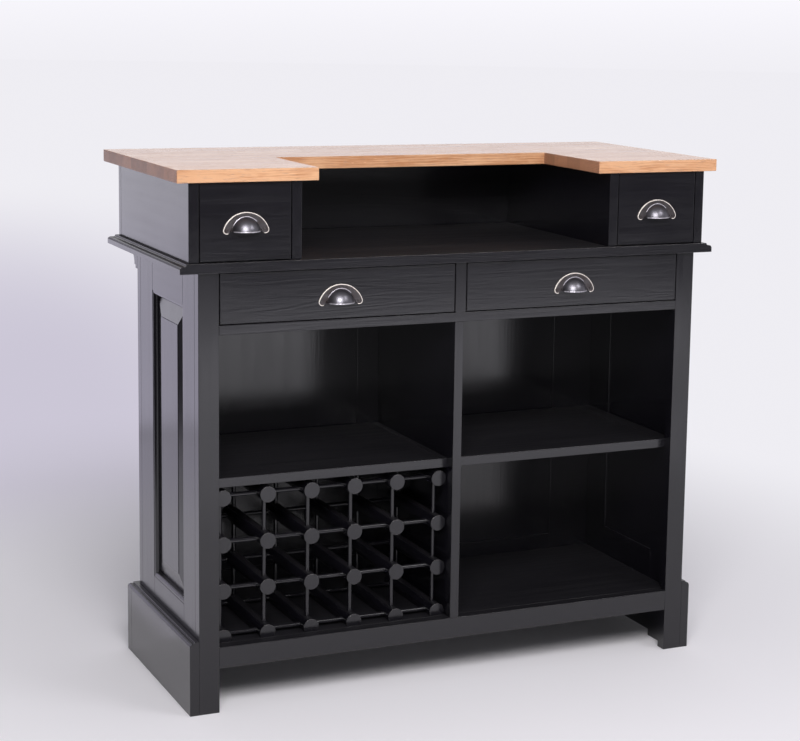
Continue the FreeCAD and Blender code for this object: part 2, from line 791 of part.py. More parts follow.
def make_panels():
    side_size = (length(side_opening), length(side_levels))
    back_size = (back_half - back_centre_half, length(back_levels))
    back_x = middle((back_centre_half, back_half))
    panels = {
        "side_panel_left": (side_size, FACING_LEFT,
                            (-case_half, middle(side_opening), middle(side_levels))),
        "side_panel_right": (side_size, FACING_RIGHT,
                             (case_half, middle(side_opening), middle(side_levels))),
        "back_panel_left": (back_size, FACING_GUESTS, (-back_x, case_back, middle(back_levels))),
        "back_panel_right": (back_size, FACING_GUESTS, (back_x, case_back, middle(back_levels))),
    }
    strips = []
    for name, (size, turn, centre) in panels.items():
        keep(name, make_panel(name, *size, turn, centre))
        strips += make_mouldings(name + "_moulding", *size, turn, centre)
    keep("panel_mouldings", group("mouldings", strips))


# ---- plinth and the cove moulding under the middle top ----

def plinth_edge(thick, outward):
    """The rounded and stepped top edge of a plinth board's section, from its face inwards."""
    sign = 1 if outward else -1
    face = thick * sign
    shoulder = d.plinth_height - d.plinth_step
    bead = face - d.plinth_round * sign
    return [
        (face, shoulder - d.plinth_round, Arc(bead, shoulder - d.plinth_round, not outward)),
        (bead, shoulder, None),
        (bead - d.plinth_ledge * sign, shoulder, None),
    ]


def plinth_profile(thick, outward):
    """A plinth board's section from the case outwards."""
    edge = plinth_edge(thick, outward)
    face, ledge = edge[0][0], edge[-1][0]
    return [
        (ZERO, ZERO, None),
        (face, ZERO, None),
        *edge,
        (ledge, d.plinth_height, None),
        (ZERO, d.plinth_height, None),
    ]


def plinth_ends(half):
    """The shape that ends the board on the guests' side: its top edge turns both corners."""
    margin = d.plinth_ledge
    above = d.plinth_height + margin
    right = plinth_edge(half, True)
    left = reversed_path(plinth_edge(half, False))
    body = new_body("plinth_ends")
    sketch = new_sketch(body, "plinth_ends_outline", "XZ_Plane")
    outline = [
        (ZERO - half, ZERO - margin, None),
        (half, ZERO - margin, None),
        *right,
        (right[-1][0], above, None),
        (left[0][0], above, None),
        *left,
    ]
    draw(sketch, outline)
    pad(body, "plinth_ends_pad", sketch, d.plinth_back_thick + margin * 2, reverse=True)
    place(body, ZERO, case_back - margin, ZERO)
    return body


def make_plinth():
    for side, word in ((LEFT, "left"), (RIGHT, "right")):
        name = "plinth_" + word
        body = new_body(name)
        sketch = new_sketch(body, name + "_profile", "XZ_Plane")
        draw(sketch, plinth_profile(d.plinth_thick, side == RIGHT))
        solid = pad(body, name + "_pad", sketch, case_back - front, reverse=True)
        soften(body, name + "_edges", solid, d.edge_round)
        place(body, case_half * side, front, ZERO)
        keep(name, body)
    body = new_body("plinth_back_board")
    sketch = new_sketch(body, "plinth_back_profile", "YZ_Plane")
    draw(sketch, plinth_profile(d.plinth_back_thick, True))
    half = case_half + d.plinth_thick
    solid = pad(body, "plinth_back_pad", sketch, (half + d.plinth_thick) * 2)
    soften(body, "plinth_back_edges", solid, d.edge_round)
    place(body, -half - d.plinth_thick, case_back, ZERO)
    keep("plinth_back", common("plinth_back_corners", body, plinth_ends(half)))


def make_cove():
    """The concave moulding on the guests' side: foot, hollow and lip, under the middle top."""
    body = new_body("cove_moulding")
    hollow = d.cove_height - d.cove_foot_height - d.cove_lip_height
    lip = d.cove_height - d.cove_lip_height
    throat = d.cove_reach - hollow
    outline = [
        (ZERO, ZERO, None),
        (d.cove_foot, ZERO, None),
        (d.cove_foot, d.cove_foot_height, None),
        (throat, d.cove_foot_height, Arc(d.cove_reach, d.cove_foot_height, clockwise=True)),
        (d.cove_reach, lip, None),
        (d.cove_reach, d.cove_height, None),
        (ZERO, d.cove_height, None),
    ]
    sketch = new_sketch(body, "cove_profile", "YZ_Plane")
    draw(sketch, outline)
    pad(body, "cove_pad", sketch, case_half * 2)
    place(body, -case_half, case_back, case_top - d.cove_height)
    keep("cove_moulding", body)


# ---- bottle rack in the lower left bay ----

def make_rack():
    columns, rows = int(d.rack_columns.value), int(d.rack_rows.value)
    outer_x = trimmed((-stile_inner, -divider_half), d.rack_side_gap + d.rod_radius)
    low = bay_floor + d.rod_foot
    high = d.shelf_height - d.shelf_thick - d.rack_head_gap - d.rod_radius
    column_pitch = length(outer_x) / (columns - 1)
    row_pitch = (high - low) / (rows - 1)
    x_places = [outer_x[0] + column_pitch * column for column in range(columns)]
    z_places = [low + row_pitch * row for row in range(rows)]
    rod_front = front + d.rod_setback
    planes = (rod_front + d.spindle_setback, rod_front + d.rod_length - d.spindle_setback)
    bite = d.spindle_socket - d.rod_radius

    spindles = []
    for y in planes:
        for x in x_places[:-1]:
            for z in z_places:
                joint = (x + column_pitch / 2, y, z)
                half = column_pitch / 2 + bite
                spindles.append(spindle(len(spindles), "x", joint, half))
        for x in x_places:
            for z in z_places[:-1]:
                joint = (x, y, z + row_pitch / 2)
                half = row_pitch / 2 + bite
                spindles.append(spindle(len(spindles), "z", joint, half))

    rods = [cylinder(f"rod_{column + 1}_{row + 1}", "y", (x, rod_front, z), d.rod_radius, d.rod_length)
            for column, x in enumerate(x_places) for row, z in enumerate(z_places)]
    below = block("rack_flat", (-side_inner, ZERO), bay_depth, (bay_under, bay_floor))
    keep("rack_rods", cut("rods_on_their_flats", group("rods", rods), [below]))
    keep("rack_spindles", group("spindles", spindles))


def spindle(count, axis, joint, half):
    return pin(f"spindle_{count + 1}", axis, joint, d.spindle_radius, half, half)


# ---- drawers ----

def pull_ear():
    """How far the ears' centres lie off the pull's middle, and the ears' radius."""
    level = d.pull_ear_rise + d.pull_drop
    inner = d.pull_radius - d.pull_flange_width
    far = root(d.pull_radius * d.pull_radius - level * level)
    near = root(inner * inner - level * level)
    return (far + near) / 2, (far - near) / 2


def half_turned(name, outline, x, z):
    """An outline turned half round, over the top of the front-to-back axis through (x, z)."""
    body = new_body(name)
    sketch = new_sketch(body, name + "_profile", "XY_Plane")
    draw(sketch, outline)
    turned = body.newObject("PartDesign::Revolution", name + "_turned")
    turned.Profile = sketch
    turned.ReferenceAxis = (sketch, ["V_Axis"])
    turned.Angle = 180
    turned.Reversed = True
    place(body, x, front, z)
    return body


def make_pull(name, x, z_low):
    """A cup pull: a flat arched rim with round ears, and a hollow dome, open below."""
    flange = d.pull_flange_thick
    arch = half_turned(
        name + "_arch",
        rectangle((d.pull_radius - d.pull_flange_width, d.pull_radius), (-flange, ZERO)),
        x,
        z_low - d.pull_drop,
    )
    below = block(
        name + "_below_ears",
        centred(d.pull_radius * 4, x),
        (front - flange * 2, front + flange),
        (z_low - d.pull_radius, z_low + d.pull_ear_rise),
    )
    offset, radius = pull_ear()
    ears = [
        cylinder(f"{name}_{word}_ear", "y", (ear_x, front - flange, z_low + d.pull_ear_rise),
                 radius, flange)
        for word, ear_x in (("left", x - offset), ("right", x + offset))
    ]

    dome = d.pull_dome_radius
    rise = d.pull_reach - flange
    ball = (dome * dome + rise * rise) / (rise * 2)
    centre = ball - d.pull_reach
    hollow = ball - d.pull_wall
    bore = root(hollow * hollow - centre * centre)
    outline = [
        (dome, ZERO, None),
        (dome, -flange, Arc(ZERO, centre, clockwise=True)),
        (ZERO, -d.pull_reach, None),
        (ZERO, d.pull_wall - d.pull_reach, Arc(ZERO, centre)),
        (bore, ZERO, None),
    ]
    cup = half_turned(name + "_dome", outline, x, z_low)
    rim = cut(name + "_rim", arch, [below])
    hollow_disc = half_turned(
        name + "_hollow", rectangle((ZERO, bore), (-flange * 2, flange)), x, z_low)
    open_rim = cut(name + "_open_rim", fused(name + "_eared_rim", [rim, *ears]), [hollow_disc])
    return fused(name, [open_rim, cup])


def make_pull_screws(name, x, z_low):
    """Two screws through the rim's ears into the drawer front."""
    offset = pull_ear()[0]
    face = front - d.pull_flange_thick
    screws = []
    for place_x in (x - offset, x + offset):
        title = f"{name}_{len(screws) + 1}"
        z = z_low + d.pull_ear_rise
        shank = pin(title, "y", (place_x, front, z), d.pull_screw_radius,
                    d.pull_flange_thick, d.pull_screw_length)
        head = cylinder(title + "_head", "y", (place_x, face - d.pull_screw_head_height, z),
                        d.pull_screw_head_radius, d.pull_screw_head_height)
        screws.append(fused(title + "_whole", [shank, head]))
    return group(name, screws)


def make_drawer(name, opening_x, opening_z, box_height, rear):
    """A front, a box of two sides and a back, a bottom in grooves, a pull and its screws."""
    x = trimmed(opening_x, d.front_gap)
    z = trimmed(opening_z, d.front_gap)
    front_back = front + d.front_thick
    end = rear - d.box_rear_gap
    low = opening_z[0] + d.box_lift
    box_z = (low, low + box_height)
    bottom_low = low + d.box_bottom_raise
    bottom_z = (bottom_low, bottom_low + d.box_bottom_thick)
    inner_x = trimmed(x, d.box_side_thick)
    bottom_x = trimmed(inner_x, -d.box_groove)
    bottom_y = (front_back - d.box_groove, end)
    slot = block(name + "_slot", bottom_x, bottom_y, bottom_z)

    keep(name + "_front", cut(name + "_front_grooved",
                              board(name + "_front", x, (front, front_back), z), [slot]))
    sides = [cut(f"{name}_{word}_grooved",
                 board(f"{name}_{word}", span, (front_back, end), box_z), [slot])
             for word, span in (("left", (x[0], inner_x[0])), ("right", (inner_x[1], x[1])))]
    back = board(name + "_back", inner_x, (end - d.box_side_thick, end), (bottom_z[1], box_z[1]))
    keep(name + "_box", group(name + "_box", sides + [back]))
    keep(name + "_bottom", block(name + "_bottom", bottom_x, bottom_y, bottom_z))
    pull_low = middle(opening_z) - d.pull_hang
    keep(name + "_pull", make_pull(name + "_pull", middle(x), pull_low))
    keep(name + "_pull_screws", make_pull_screws(name + "_pull_screws", middle(x), pull_low))


def make_drawers():
    rear = upper_depth[1]
    for side, word in ((LEFT, "left"), (RIGHT, "right")):
        make_drawer(f"upper_{word}_drawer", across(side, *drawer_cavity), upper_levels,
                    d.upper_box_height, rear)
    lower = (drawer_floor, case_top)
    make_drawer("lower_left_drawer", (-stile_inner, drawer_divider[0]), lower,
                d.lower_box_height, back_inner)
    make_drawer("lower_right_drawer", (drawer_divider[1], stile_inner), lower,
                d.lower_box_height, back_inner)


# ---- the whole counter ----

def faults(nodes):
    """Every feature that failed, and every node whose name or shape isn't sound."""
    failed = [item.Name for item in doc.Objects
              if any(word in ("Invalid", "Error") for word in item.State)]
    unsound = [name for name, node in nodes.items()
               if node.Label != name or node.Shape.isNull() or not node.Shape.isValid()]
    return failed + unsound


def main():
    make_worktop()
    make_cleats()
    make_upper_box()
    make_middle_top()
    make_face_frame()
    make_inside()
    make_shelves()
    rails = make_side(LEFT, "left") + make_side(RIGHT, "right")
    keep("side_rails", group("side_rails", rails))
    make_guests_side()
    make_panels()
    make_plinth()
    make_cove()
    make_rack()
    make_drawers()
    keep("joint_pegs", group("pegs", pegs))
    doc.recompute()

    nodes = {}
    for name, blank in blanks.items():
        is_pin = name in ("joint_pegs", "rack_spindles") or name.endswith("_screws")
        nodes[name] = blank if is_pin else drilled(name, blank)
        nodes[name].Label = name
    doc.recompute()

    failed = faults(nodes)
    if failed:
        raise RuntimeError("not built: " + ", ".join(failed))
    os.makedirs("parts", exist_ok=True)
    for name, node in nodes.items():
        node.Shape.exportStep(f"parts/{name}.step")
        print(f"{name:32s} {len(node.Shape.Solids):3d} {node.Shape.Volume / 1000:10.1f} cm3")


main()
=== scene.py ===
"""A painted bar counter with an oak worktop: its finishes, cup pulls, pull screws and studio."""

import math
import bpy
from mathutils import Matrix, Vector


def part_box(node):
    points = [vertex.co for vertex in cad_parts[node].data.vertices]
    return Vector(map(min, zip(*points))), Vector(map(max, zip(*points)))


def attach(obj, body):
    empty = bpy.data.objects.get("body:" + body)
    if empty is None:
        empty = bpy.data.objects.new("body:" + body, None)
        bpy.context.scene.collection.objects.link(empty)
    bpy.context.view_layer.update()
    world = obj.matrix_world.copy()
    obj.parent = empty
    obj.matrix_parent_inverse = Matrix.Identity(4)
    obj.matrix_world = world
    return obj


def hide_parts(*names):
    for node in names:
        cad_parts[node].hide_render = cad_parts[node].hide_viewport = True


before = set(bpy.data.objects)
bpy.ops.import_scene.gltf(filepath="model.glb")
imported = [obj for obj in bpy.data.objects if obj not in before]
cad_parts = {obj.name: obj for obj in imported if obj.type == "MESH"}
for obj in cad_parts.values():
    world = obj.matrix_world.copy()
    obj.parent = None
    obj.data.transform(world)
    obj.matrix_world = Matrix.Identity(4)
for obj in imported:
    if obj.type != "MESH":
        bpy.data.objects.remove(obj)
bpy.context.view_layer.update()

bl_info = {
    "name": "Bar counter with shelves",
    "version": (1, 0, 0),
    "blender": (4, 5, 0),
    "location": "View3D > Sidebar > Bar counter",
    "description": "Paints, oils and fits out a bar counter with shelves and four drawers",
    "category": "Add Mesh",
}

DRAWERS = ("upper_left_drawer", "upper_right_drawer", "lower_left_drawer", "lower_right_drawer")


# ---------------------------------------------------------------- shader arithmetic


class Signal:
    """A node's output that takes part in plain arithmetic; each step adds one Math node."""

    def __init__(self, finish, socket):
        self.finish = finish
        self.socket = socket

    def math(self, operation, *values):
        settings = {"operation": operation}
        return self.finish.node("ShaderNodeMath", settings, dict(enumerate(values)))

    def __add__(self, other):
        return self.math("ADD", self, other)

    def __radd__(self, other):
        return self.math("ADD", other, self)

    def __sub__(self, other):
        return self.math("SUBTRACT", self, other)

    def __rsub__(self, other):
        return self.math("SUBTRACT", other, self)

    def __mul__(self, other):
        return self.math("MULTIPLY", self, other)

    def __rmul__(self, other):
        return self.math("MULTIPLY", other, self)

    def __truediv__(self, other):
        return self.math("DIVIDE", self, other)

    def __rtruediv__(self, other):
        return self.math("DIVIDE", other, self)

    def __abs__(self):
        return self.math("ABSOLUTE", self)

    def floor(self):
        return self.math("FLOOR", self)

    def fraction(self):
        return self.math("FRACT", self)

    def root(self):
        return self.math("SQRT", self)

    def greatest(self, other):
        return self.math("MAXIMUM", self, other)

    def step(self, start, end, low=0.0, high=1.0):
        """Rises smoothly from low to high while this value goes from start to end."""
        values = {"Value": self, 1: start, 2: end, 3: low, 4: high}
        return self.finish.node("ShaderNodeMapRange", {"interpolation_type": "SMOOTHSTEP"}, values)


class Finish:
    """A material or the room's light while its nodes are put together."""

    def __init__(self, name, kind="materials"):
        self.owner = getattr(bpy.data, kind).new(name)
        self.owner.use_nodes = True
        self.tree = self.owner.node_tree
        self.tree.nodes.clear()

    def node(self, kind, settings=None, values=None, output=0):
        """Adds a node: its settings first, then its sockets; returns one of its outputs."""
        node = self.tree.nodes.new(kind)
        for name, value in (settings or {}).items():
            setattr(node, name, value)
        for key, value in (values or {}).items():
            if isinstance(value, Signal):
                self.tree.links.new(value.socket, node.inputs[key])
            else:
                node.inputs[key].default_value = value
        return Signal(self, node.outputs[output]) if node.outputs else None

    def place(self):
        """The point on the piece, in metres."""
        return self.node("ShaderNodeTexCoord", output="Object")

    def facing(self):
        """The piece's own surface direction, as x, y and z."""
        direction = self.node("ShaderNodeTexCoord", output="Normal")
        return self.split(direction)

    def split(self, vector):
        """The x, y and z of a point, direction or colour."""
        first = self.node("ShaderNodeSeparateXYZ", None, {0: vector})
        return [Signal(self, output) for output in first.socket.node.outputs]

    def join(self, x, y, z):
        return self.node("ShaderNodeCombineXYZ", None, {0: x, 1: y, 2: z})

    def vector(self, operation, first, second, output=0):
        settings = {"operation": operation}
        return self.node("ShaderNodeVectorMath", settings, {0: first, 1: second}, output)

    def noise(self, vector, scale, detail=3.0, rough=0.5, warp=0.0):
        values = {
            "Vector": vector,
            "Scale": scale,
            "Detail": detail,
            "Roughness": rough,
            "Distortion": warp,
        }
        return self.node("ShaderNodeTexNoise", None, values)

    def chance(self, number):
        """A fixed random number between 0 and 1 for each whole number."""
        return self.node("ShaderNodeTexWhiteNoise", {"noise_dimensions": "1D"}, {"W": number})

    def mix(self, share, first, second):
        """Goes from one colour to another."""
        settings = {"data_type": "RGBA", "clamp_factor": True}
        return self.node("ShaderNodeMix", settings, {0: share, 6: first, 7: second}, output=2)

    def bump(self, height, depth, softened=None):
        """Turns a height from 0 to 1 into relief of that depth in metres."""
        values = {"Height": height, "Distance": depth, "Strength": 1.0}
        if softened is not None:
            values["Normal"] = softened
        return self.node("ShaderNodeBump", None, values)

    def surface(self, slot, **values):
        """Ends the material with a surface shader; underscores in the names stand for spaces."""
        named = {name.replace("_", " "): value for name, value in values.items()}
        shader = self.node("ShaderNodeBsdfPrincipled", None, named)
        self.node("ShaderNodeOutputMaterial", None, {"Surface": shader})
        self.owner["slot"] = slot
        return self.owner


def rgba(colour, factor=1.0):
    return (colour[0] * factor, colour[1] * factor, colour[2] * factor, 1.0)


# ---------------------------------------------------------------- sizes and colours


def colour_setting(name, description, default):
    return bpy.props.FloatVectorProperty(
        name=name,
        description=description,
        subtype="COLOR",
        size=3,
        min=0.0,
        max=1.0,
        default=default,
    )


def length_setting(name, description, default):
    return bpy.props.FloatProperty(
        name=name,
        description=description,
        subtype="DISTANCE",
        unit="LENGTH",
        min=0.0,
        precision=4,
        default=default,
    )


def power_setting(name, description, default):
    return bpy.props.FloatProperty(
        name=name, description=description, unit="POWER", min=0.0, default=default
    )


def share_setting(name, description, default):
    return bpy.props.FloatProperty(
        name=name,
        description=description,
        subtype="FACTOR",
        min=0.0,
        max=1.0,
        default=default,
    )


class PaintSettings(bpy.types.PropertyGroup):
    """The satin paint on the case, the boards and the drawer fronts."""

    colour: colour_setting("Colour", "Colour of the paint film", (0.0034, 0.0031, 0.0046))
    # The edge colour is partly paint worn off and partly a painted highlight along the rounded
    # edges.
    edge_colour: colour_setting("Worn edge", "Colour where edges are rubbed", (0.30, 0.285, 0.29))
    dust: colour_setting("Dust", "Colour of the dust on boards that face up", (0.022, 0.021, 0.024))
    roughness: share_setting("Roughness", "How dull the paint film is", 0.18)
    grain_depth: length_setting("Grain depth", "How deep the grain telegraphs", 0.00006)
    arris: length_setting("Arris", "Radius of the softened board edges", 0.0012)
    flush_arris: length_setting("Flush arris", "The same where boards meet flush", 0.0001)


class OakSettings(bpy.types.PropertyGroup):
    """The oiled oak of the worktop."""

    pale: colour_setting("Pale wood", "Early wood between the growth lines", (0.70, 0.400, 0.225))
    dark: colour_setting("Dark wood", "Late wood in the growth lines", (0.47, 0.215, 0.098))
    pore: colour_setting("Pores", "Open pores and flecks", (0.16, 0.060, 0.022))
    end: colour_setting("End grain", "Sawn ends of the staves", (0.47, 0.220, 0.125))
    stave: length_setting("Stave", "Width of one glued stave", 0.057)
    ring: length_setting("Ring", "Growth in one year", 0.0052)
    heart_depth: length_setting("Heart depth", "Least depth of the log's heart below", 0.012)
    heart_spread: length_setting("Heart spread", "How far that depth varies", 0.055)
    heart_shift: length_setting("Heart shift", "How far the heart moves sideways", 0.09)
    pore_depth: length_setting("Pore depth", "How deep the pores and rings are", 0.00018)
    arris: length_setting("Arris", "Radius of the softened edges", 0.0012)
    roughness: share_setting("Roughness", "How dull the oil is", 0.23)


class PineSettings(bpy.types.PropertyGroup):
    """The bare pine of the drawer boxes, cleats and guides."""

    pale: colour_setting("Pale wood", "Early wood", (0.66, 0.46, 0.26))
    dark: colour_setting("Dark wood", "Late wood", (0.45, 0.255, 0.115))
    ring: length_setting("Ring", "Growth in one year", 0.0042)
    grain_depth: length_setting("Grain depth", "How deep the planed grain is", 0.00016)
    arris: length_setting("Arris", "Radius of the softened edges", 0.0008)


class PullSettings(bpy.types.PropertyGroup):
    """The pressed cup pulls and their screws."""

    colour: colour_setting("Pewter", "Colour of the aged metal", (0.125, 0.116, 0.120))
    cup_colour: colour_setting("Cup", "Colour of the cup's smoother metal", (0.185, 0.180, 0.205))
    patina: colour_setting("Patina", "Colour of the brown film on it", (0.060, 0.042, 0.038))
    # Bright pewter: on the root bead's upper arc it is a painted highlight, on the mouth bead
    # partly worn metal and partly a painted highlight, and it also marks the middle of the screws'
    # crowns.
    rubbed_and_highlit_colour: colour_setting("Rubbed beads", "Colour of the bare pewter", (0.62, 0.60, 0.66))
    edge_colour: colour_setting("Worn outline", "Colour where brass shows", (0.90, 0.83, 0.77))
    outer_radius: length_setting("Outer radius", "Radius of the arched outline", 0.0486)
    drop: length_setting("Drop", "How far the arch's centre lies below the ears", 0.0067)
    plate_width: length_setting("Plate width", "Width of the arched plate", 0.0146)
    plate_thickness: length_setting("Plate thickness", "Thickness of the plate", 0.0025)
    rubbed_border: length_setting("Rubbed border", "Width of the bright outline", 0.0017)
    ball_radius: length_setting("Cup radius", "Radius of the cup's round", 0.0352)
    ball_depth: length_setting("Cup depth", "How far its centre lies behind the front", 0.0110)
    narrowing: share_setting("Narrowing", "The cup's width as a share of a full round", 0.90)
    mouth: length_setting("Mouth", "Height of the cup's lower edge", 0.0050)
    wall: length_setting("Wall", "Thickness of the cup's metal", 0.0016)
    bead: length_setting("Bead", "Radius of the bead at the mouth", 0.0011)
    dent_depth: length_setting("Dent depth", "How deep the metal's small dents are", 0.0001)
    plate_round: length_setting("Plate round", "Radius of the plate's edges", 0.0008)


class StageSettings(bpy.types.PropertyGroup):
    """The camera, floor and lights."""

    lens: bpy.props.FloatProperty(
        name="Lens",
        description="Focal length in millimetres",
        unit="CAMERA",
        min=10.0,
        default=87.783,
    )
    floor_colour: colour_setting("Floor", "Colour of the floor", (0.93, 0.915, 0.96))
    wall_colour: colour_setting("Room", "Colour of the room's light", (0.86, 0.85, 0.895))
    shade_colour: colour_setting("Shade", "Colour of the room's shaded side", (0.60, 0.57, 0.675))
    key_power: power_setting("Key light", "Power of the light beside the camera", 141.0)
    fill_power: power_setting("Fill light", "Power of the light at the right", 24.0)
    window_power: power_setting("Window light", "Power of the window at the left", 1.45)
    side_power: power_setting("Side glow", "Power of the glow behind the left side", 1.05)
    near_power: power_setting("Near glow", "Power of the glow just in front", 5.704)
    far_power: power_setting("Far glow", "Power of the glow further in front", 21.08)


# ---------------------------------------------------------------- finishes


def grain_space(finish, axis, stretch):
    """Object coordinates drawn out along the grain, so that noise becomes wood fibres."""
    scale = [1.0, 1.0, 1.0]
    scale["xyz".index(axis)] = 1.0 / stretch
    return finish.vector("MULTIPLY", finish.place(), tuple(scale))


def rounded_over(finish, radius):
    """The surface direction, rounded over the edges."""
    return finish.node("ShaderNodeBevel", {"samples": 4}, {"Radius": radius})


def edge_nearness(finish, rounded, start, end):
    """How near a point lies to a rounded edge, 0 to 1: the mask for worn edges and painted edge
    highlights.
    """
    flat = finish.node("ShaderNodeNewGeometry", output="Normal")
    likeness = finish.vector("DOT_PRODUCT", rounded, flat, output="Value")
    return (1.0 - likeness).step(start, end)


def painted_board(settings, axis, arris, name):
    """Satin black paint over pine: the grain runs along one axis, the arris softens the edges."""
    finish = Finish(name + axis)
    fibres = grain_space(finish, axis, 26.0)
    figure = grain_space(finish, axis, 14.0)
    place = finish.place()

    fine = finish.noise(fibres, 520.0, 3.0, 0.6)
    broad = finish.noise(figure, 30.0, 2.0, 0.45, 0.4)
    lines = abs((broad * 7.0).fraction() - 0.5) * 2.0
    cloud = finish.noise(place, 5.5, 4.0, 0.6)
    smear = finish.noise(fibres, 60.0, 3.0, 0.6)
    patch = finish.noise(place, 48.0, 3.0, 0.6)
    rounded = rounded_over(finish, arris)
    edge = edge_nearness(finish, rounded, 0.02, 0.22)

    # Edges are worn in patches and also painted light as a painted highlight, most on the upper
    # edges; dust settles on what faces up.
    upper = finish.split(rounded)[2].step(0.15, 0.50)
    rubbed_and_highlit = patch.step(0.40, 0.62).greatest(upper * 0.7)
    wear_and_highlight = edge * rubbed_and_highlit * (0.55 + upper * 0.45)
    facing_up = finish.facing()[2]
    dust = facing_up.step(0.80, 0.97) * (0.6 + smear * 0.8)
    body = finish.mix(fine * 0.7 + lines * 0.3, rgba(settings.colour), rgba(settings.colour, 2.2))
    body = finish.mix(dust * 0.35, body, rgba(settings.dust))
    colour = finish.mix(wear_and_highlight * 0.8, body, rgba(settings.edge_colour))
    shine = (cloud - 0.5) * 0.10 + (smear - 0.5) * 0.12 + (fine - 0.5) * 0.06 + dust * 0.22
    relief = finish.bump(fine * 0.65 + lines * 0.35, settings.grain_depth, rounded)
    return finish.surface(
        "black_paint",
        Base_Color=colour,
        Roughness=settings.roughness + shine,
        Normal=relief,
        Specular_IOR_Level=0.64,
    )


def oiled_oak(settings):
    """Glued oak staves along x, with growth rings, pores, flecks and true end grain."""
    finish = Finish("oiled_oak")
    x, y, z = finish.split(finish.place())
    across = y / settings.stave
    stave = across.floor()
    tone = finish.chance(stave + 3.0)
    shift = finish.chance(stave + 41.0)
    lean = finish.chance(stave + 87.0)

    def streaks(along, through, start, detail, rough):
        """Noise of so many waves a metre along and through the grain, new in each stave."""
        point = finish.join(x * along, y * through, z * through + stave * start)
        return finish.noise(point, 1.0, detail, rough)

    # Each stave is cut from its own place in the log: the rings are round in the y-z plane.
    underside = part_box("oak_worktop")[0].z
    beside = (across.fraction() - 0.5) * settings.stave + (shift - 0.5) * settings.heart_shift
    below = z - underside + settings.heart_depth + lean * settings.heart_spread
    sway = finish.noise(finish.join(x * 3.2, y * 5.0, stave * 3.7), 1.0, 2.0, 0.5)
    ripple = streaks(12.0, 60.0, 1.0, 3.0, 0.55)
    radius = (beside * beside + below * below).root()
    radius = radius + (sway - 0.5) * 0.040 + (ripple - 0.5) * 0.006
    year = (radius / settings.ring).fraction()
    late = year.step(0.25, 0.90) - year.step(0.92, 1.0)

    blotch = streaks(14.0, 45.0, 4.0, 3.0, 0.6)
    ribbon = streaks(5.0, 120.0, 9.0, 3.0, 0.6)
    streak = streaks(16.0, 300.0, 7.0, 3.0, 0.6)
    fibre = streaks(30.0, 800.0, 5.0, 2.0, 0.6)
    cloud = finish.noise(finish.join(x * 3.0, y * 14.0, stave), 1.0, 3.0, 0.55)
    pores = streaks(55.0, 520.0, 1.0, 1.0, 0.5).step(0.62, 0.72)
    specks = streaks(9.0, 40.0, 2.0, 1.0, 0.4).step(0.74, 0.80)
    slanting = finish.join(x * 70.0 + z * 95.0, y * 90.0, z * 200.0 - x * 40.0)
    slant = finish.noise(slanting, 1.0, 2.0, 0.5)
    flecks = slant.step(0.64, 0.74) * cloud.step(0.42, 0.60)

    lines = (late - 0.5) * 0.34 + (ribbon - 0.5) * 1.5
    lines = lines + (streak - 0.5) * 2.0 + (fibre - 0.5) * 0.9
    figure = 0.40 + lines * 1.25 + (blotch - 0.5) * 1.7 + (tone - 0.5) * 0.45
    wood = finish.mix(figure, rgba(settings.pale), rgba(settings.dark))
    wood = finish.mix((cloud - 0.5) * 1.2 + 0.12, wood, rgba(settings.dark, 1.1))
    wood = finish.mix(flecks * 0.55, wood, rgba(settings.pale, 1.18))
    wood = finish.mix(pores * 0.40 + specks * 0.55, wood, rgba(settings.pore))
    seam = abs(across.fraction() - 0.5).step(0.488, 0.499)
    wood = finish.mix(seam * 0.45, wood, rgba(settings.pore))

    # Sawn ends are duller, greyer and speckled with open pores.
    rays = finish.noise(finish.join(x, y * 420.0, z * 60.0 + stave), 1.0, 2.0, 0.5)
    growth = late * 0.35 + (tone - 0.5) * 0.55 + 0.25 + (rays - 0.5) * 0.9 + (blotch - 0.5) * 0.8
    ends = finish.mix(growth, rgba(settings.end, 1.25), rgba(settings.end, 0.60))
    speckle = finish.noise(finish.place(), 620.0, 2.0, 0.6).step(0.52, 0.66)
    ends = finish.mix(speckle * 0.35, ends, rgba(settings.pore))
    facing_end = finish.facing()[0]
    sawn = abs(facing_end).step(0.6, 0.8)
    colour = finish.mix(sawn, wood, ends)

    rounded = rounded_over(finish, settings.arris)
    edge = edge_nearness(finish, rounded, 0.03, 0.25)
    # Rounded edges are painted paler: a painted highlight along the arrises.
    colour = finish.mix(edge * 0.45, colour, rgba(settings.pale, 1.25))
    shine = (cloud - 0.5) * 0.12 + (streak - 0.5) * 0.20 + pores * 0.10
    roughness = settings.roughness + shine + sawn * 0.14
    height = 1.0 - pores * 0.8 - late * 0.2 - speckle * sawn * 0.5
    relief = finish.bump(height, settings.pore_depth, rounded)
    return finish.surface(
        "oak",
        Base_Color=colour,
        Roughness=roughness,
        Normal=relief,
        Specular_IOR_Level=0.7,
    )


def bare_pine(settings, axis):
    """Planed pine, unfinished, with its grain along one axis."""
    finish = Finish("bare_pine_grain_" + axis)
    fibres = grain_space(finish, axis, 26.0)
    figure = grain_space(finish, axis, 11.0)
    field = finish.noise(figure, 15.0, 2.0, 0.5, 0.4)
    year = (field * 0.06 / settings.ring).fraction()
    late = year.step(0.45, 0.9) - year.step(0.92, 1.0)
    fine = finish.noise(fibres, 700.0, 3.0, 0.6)
    cloud = finish.noise(finish.place(), 6.0, 3.0, 0.5)
    share = late * 0.55 + (fine - 0.5) * 0.5 + (cloud - 0.5) * 0.4
    colour = finish.mix(share, rgba(settings.pale), rgba(settings.dark))
    rounded = rounded_over(finish, settings.arris)
    return finish.surface(
        "bare_pine",
        Base_Color=colour,
        Roughness=0.58 + (cloud - 0.5) * 0.15 + fine * 0.08,
        Normal=finish.bump(fine * 0.6 + late * 0.4, settings.grain_depth, rounded),
        Specular_IOR_Level=0.4,
    )


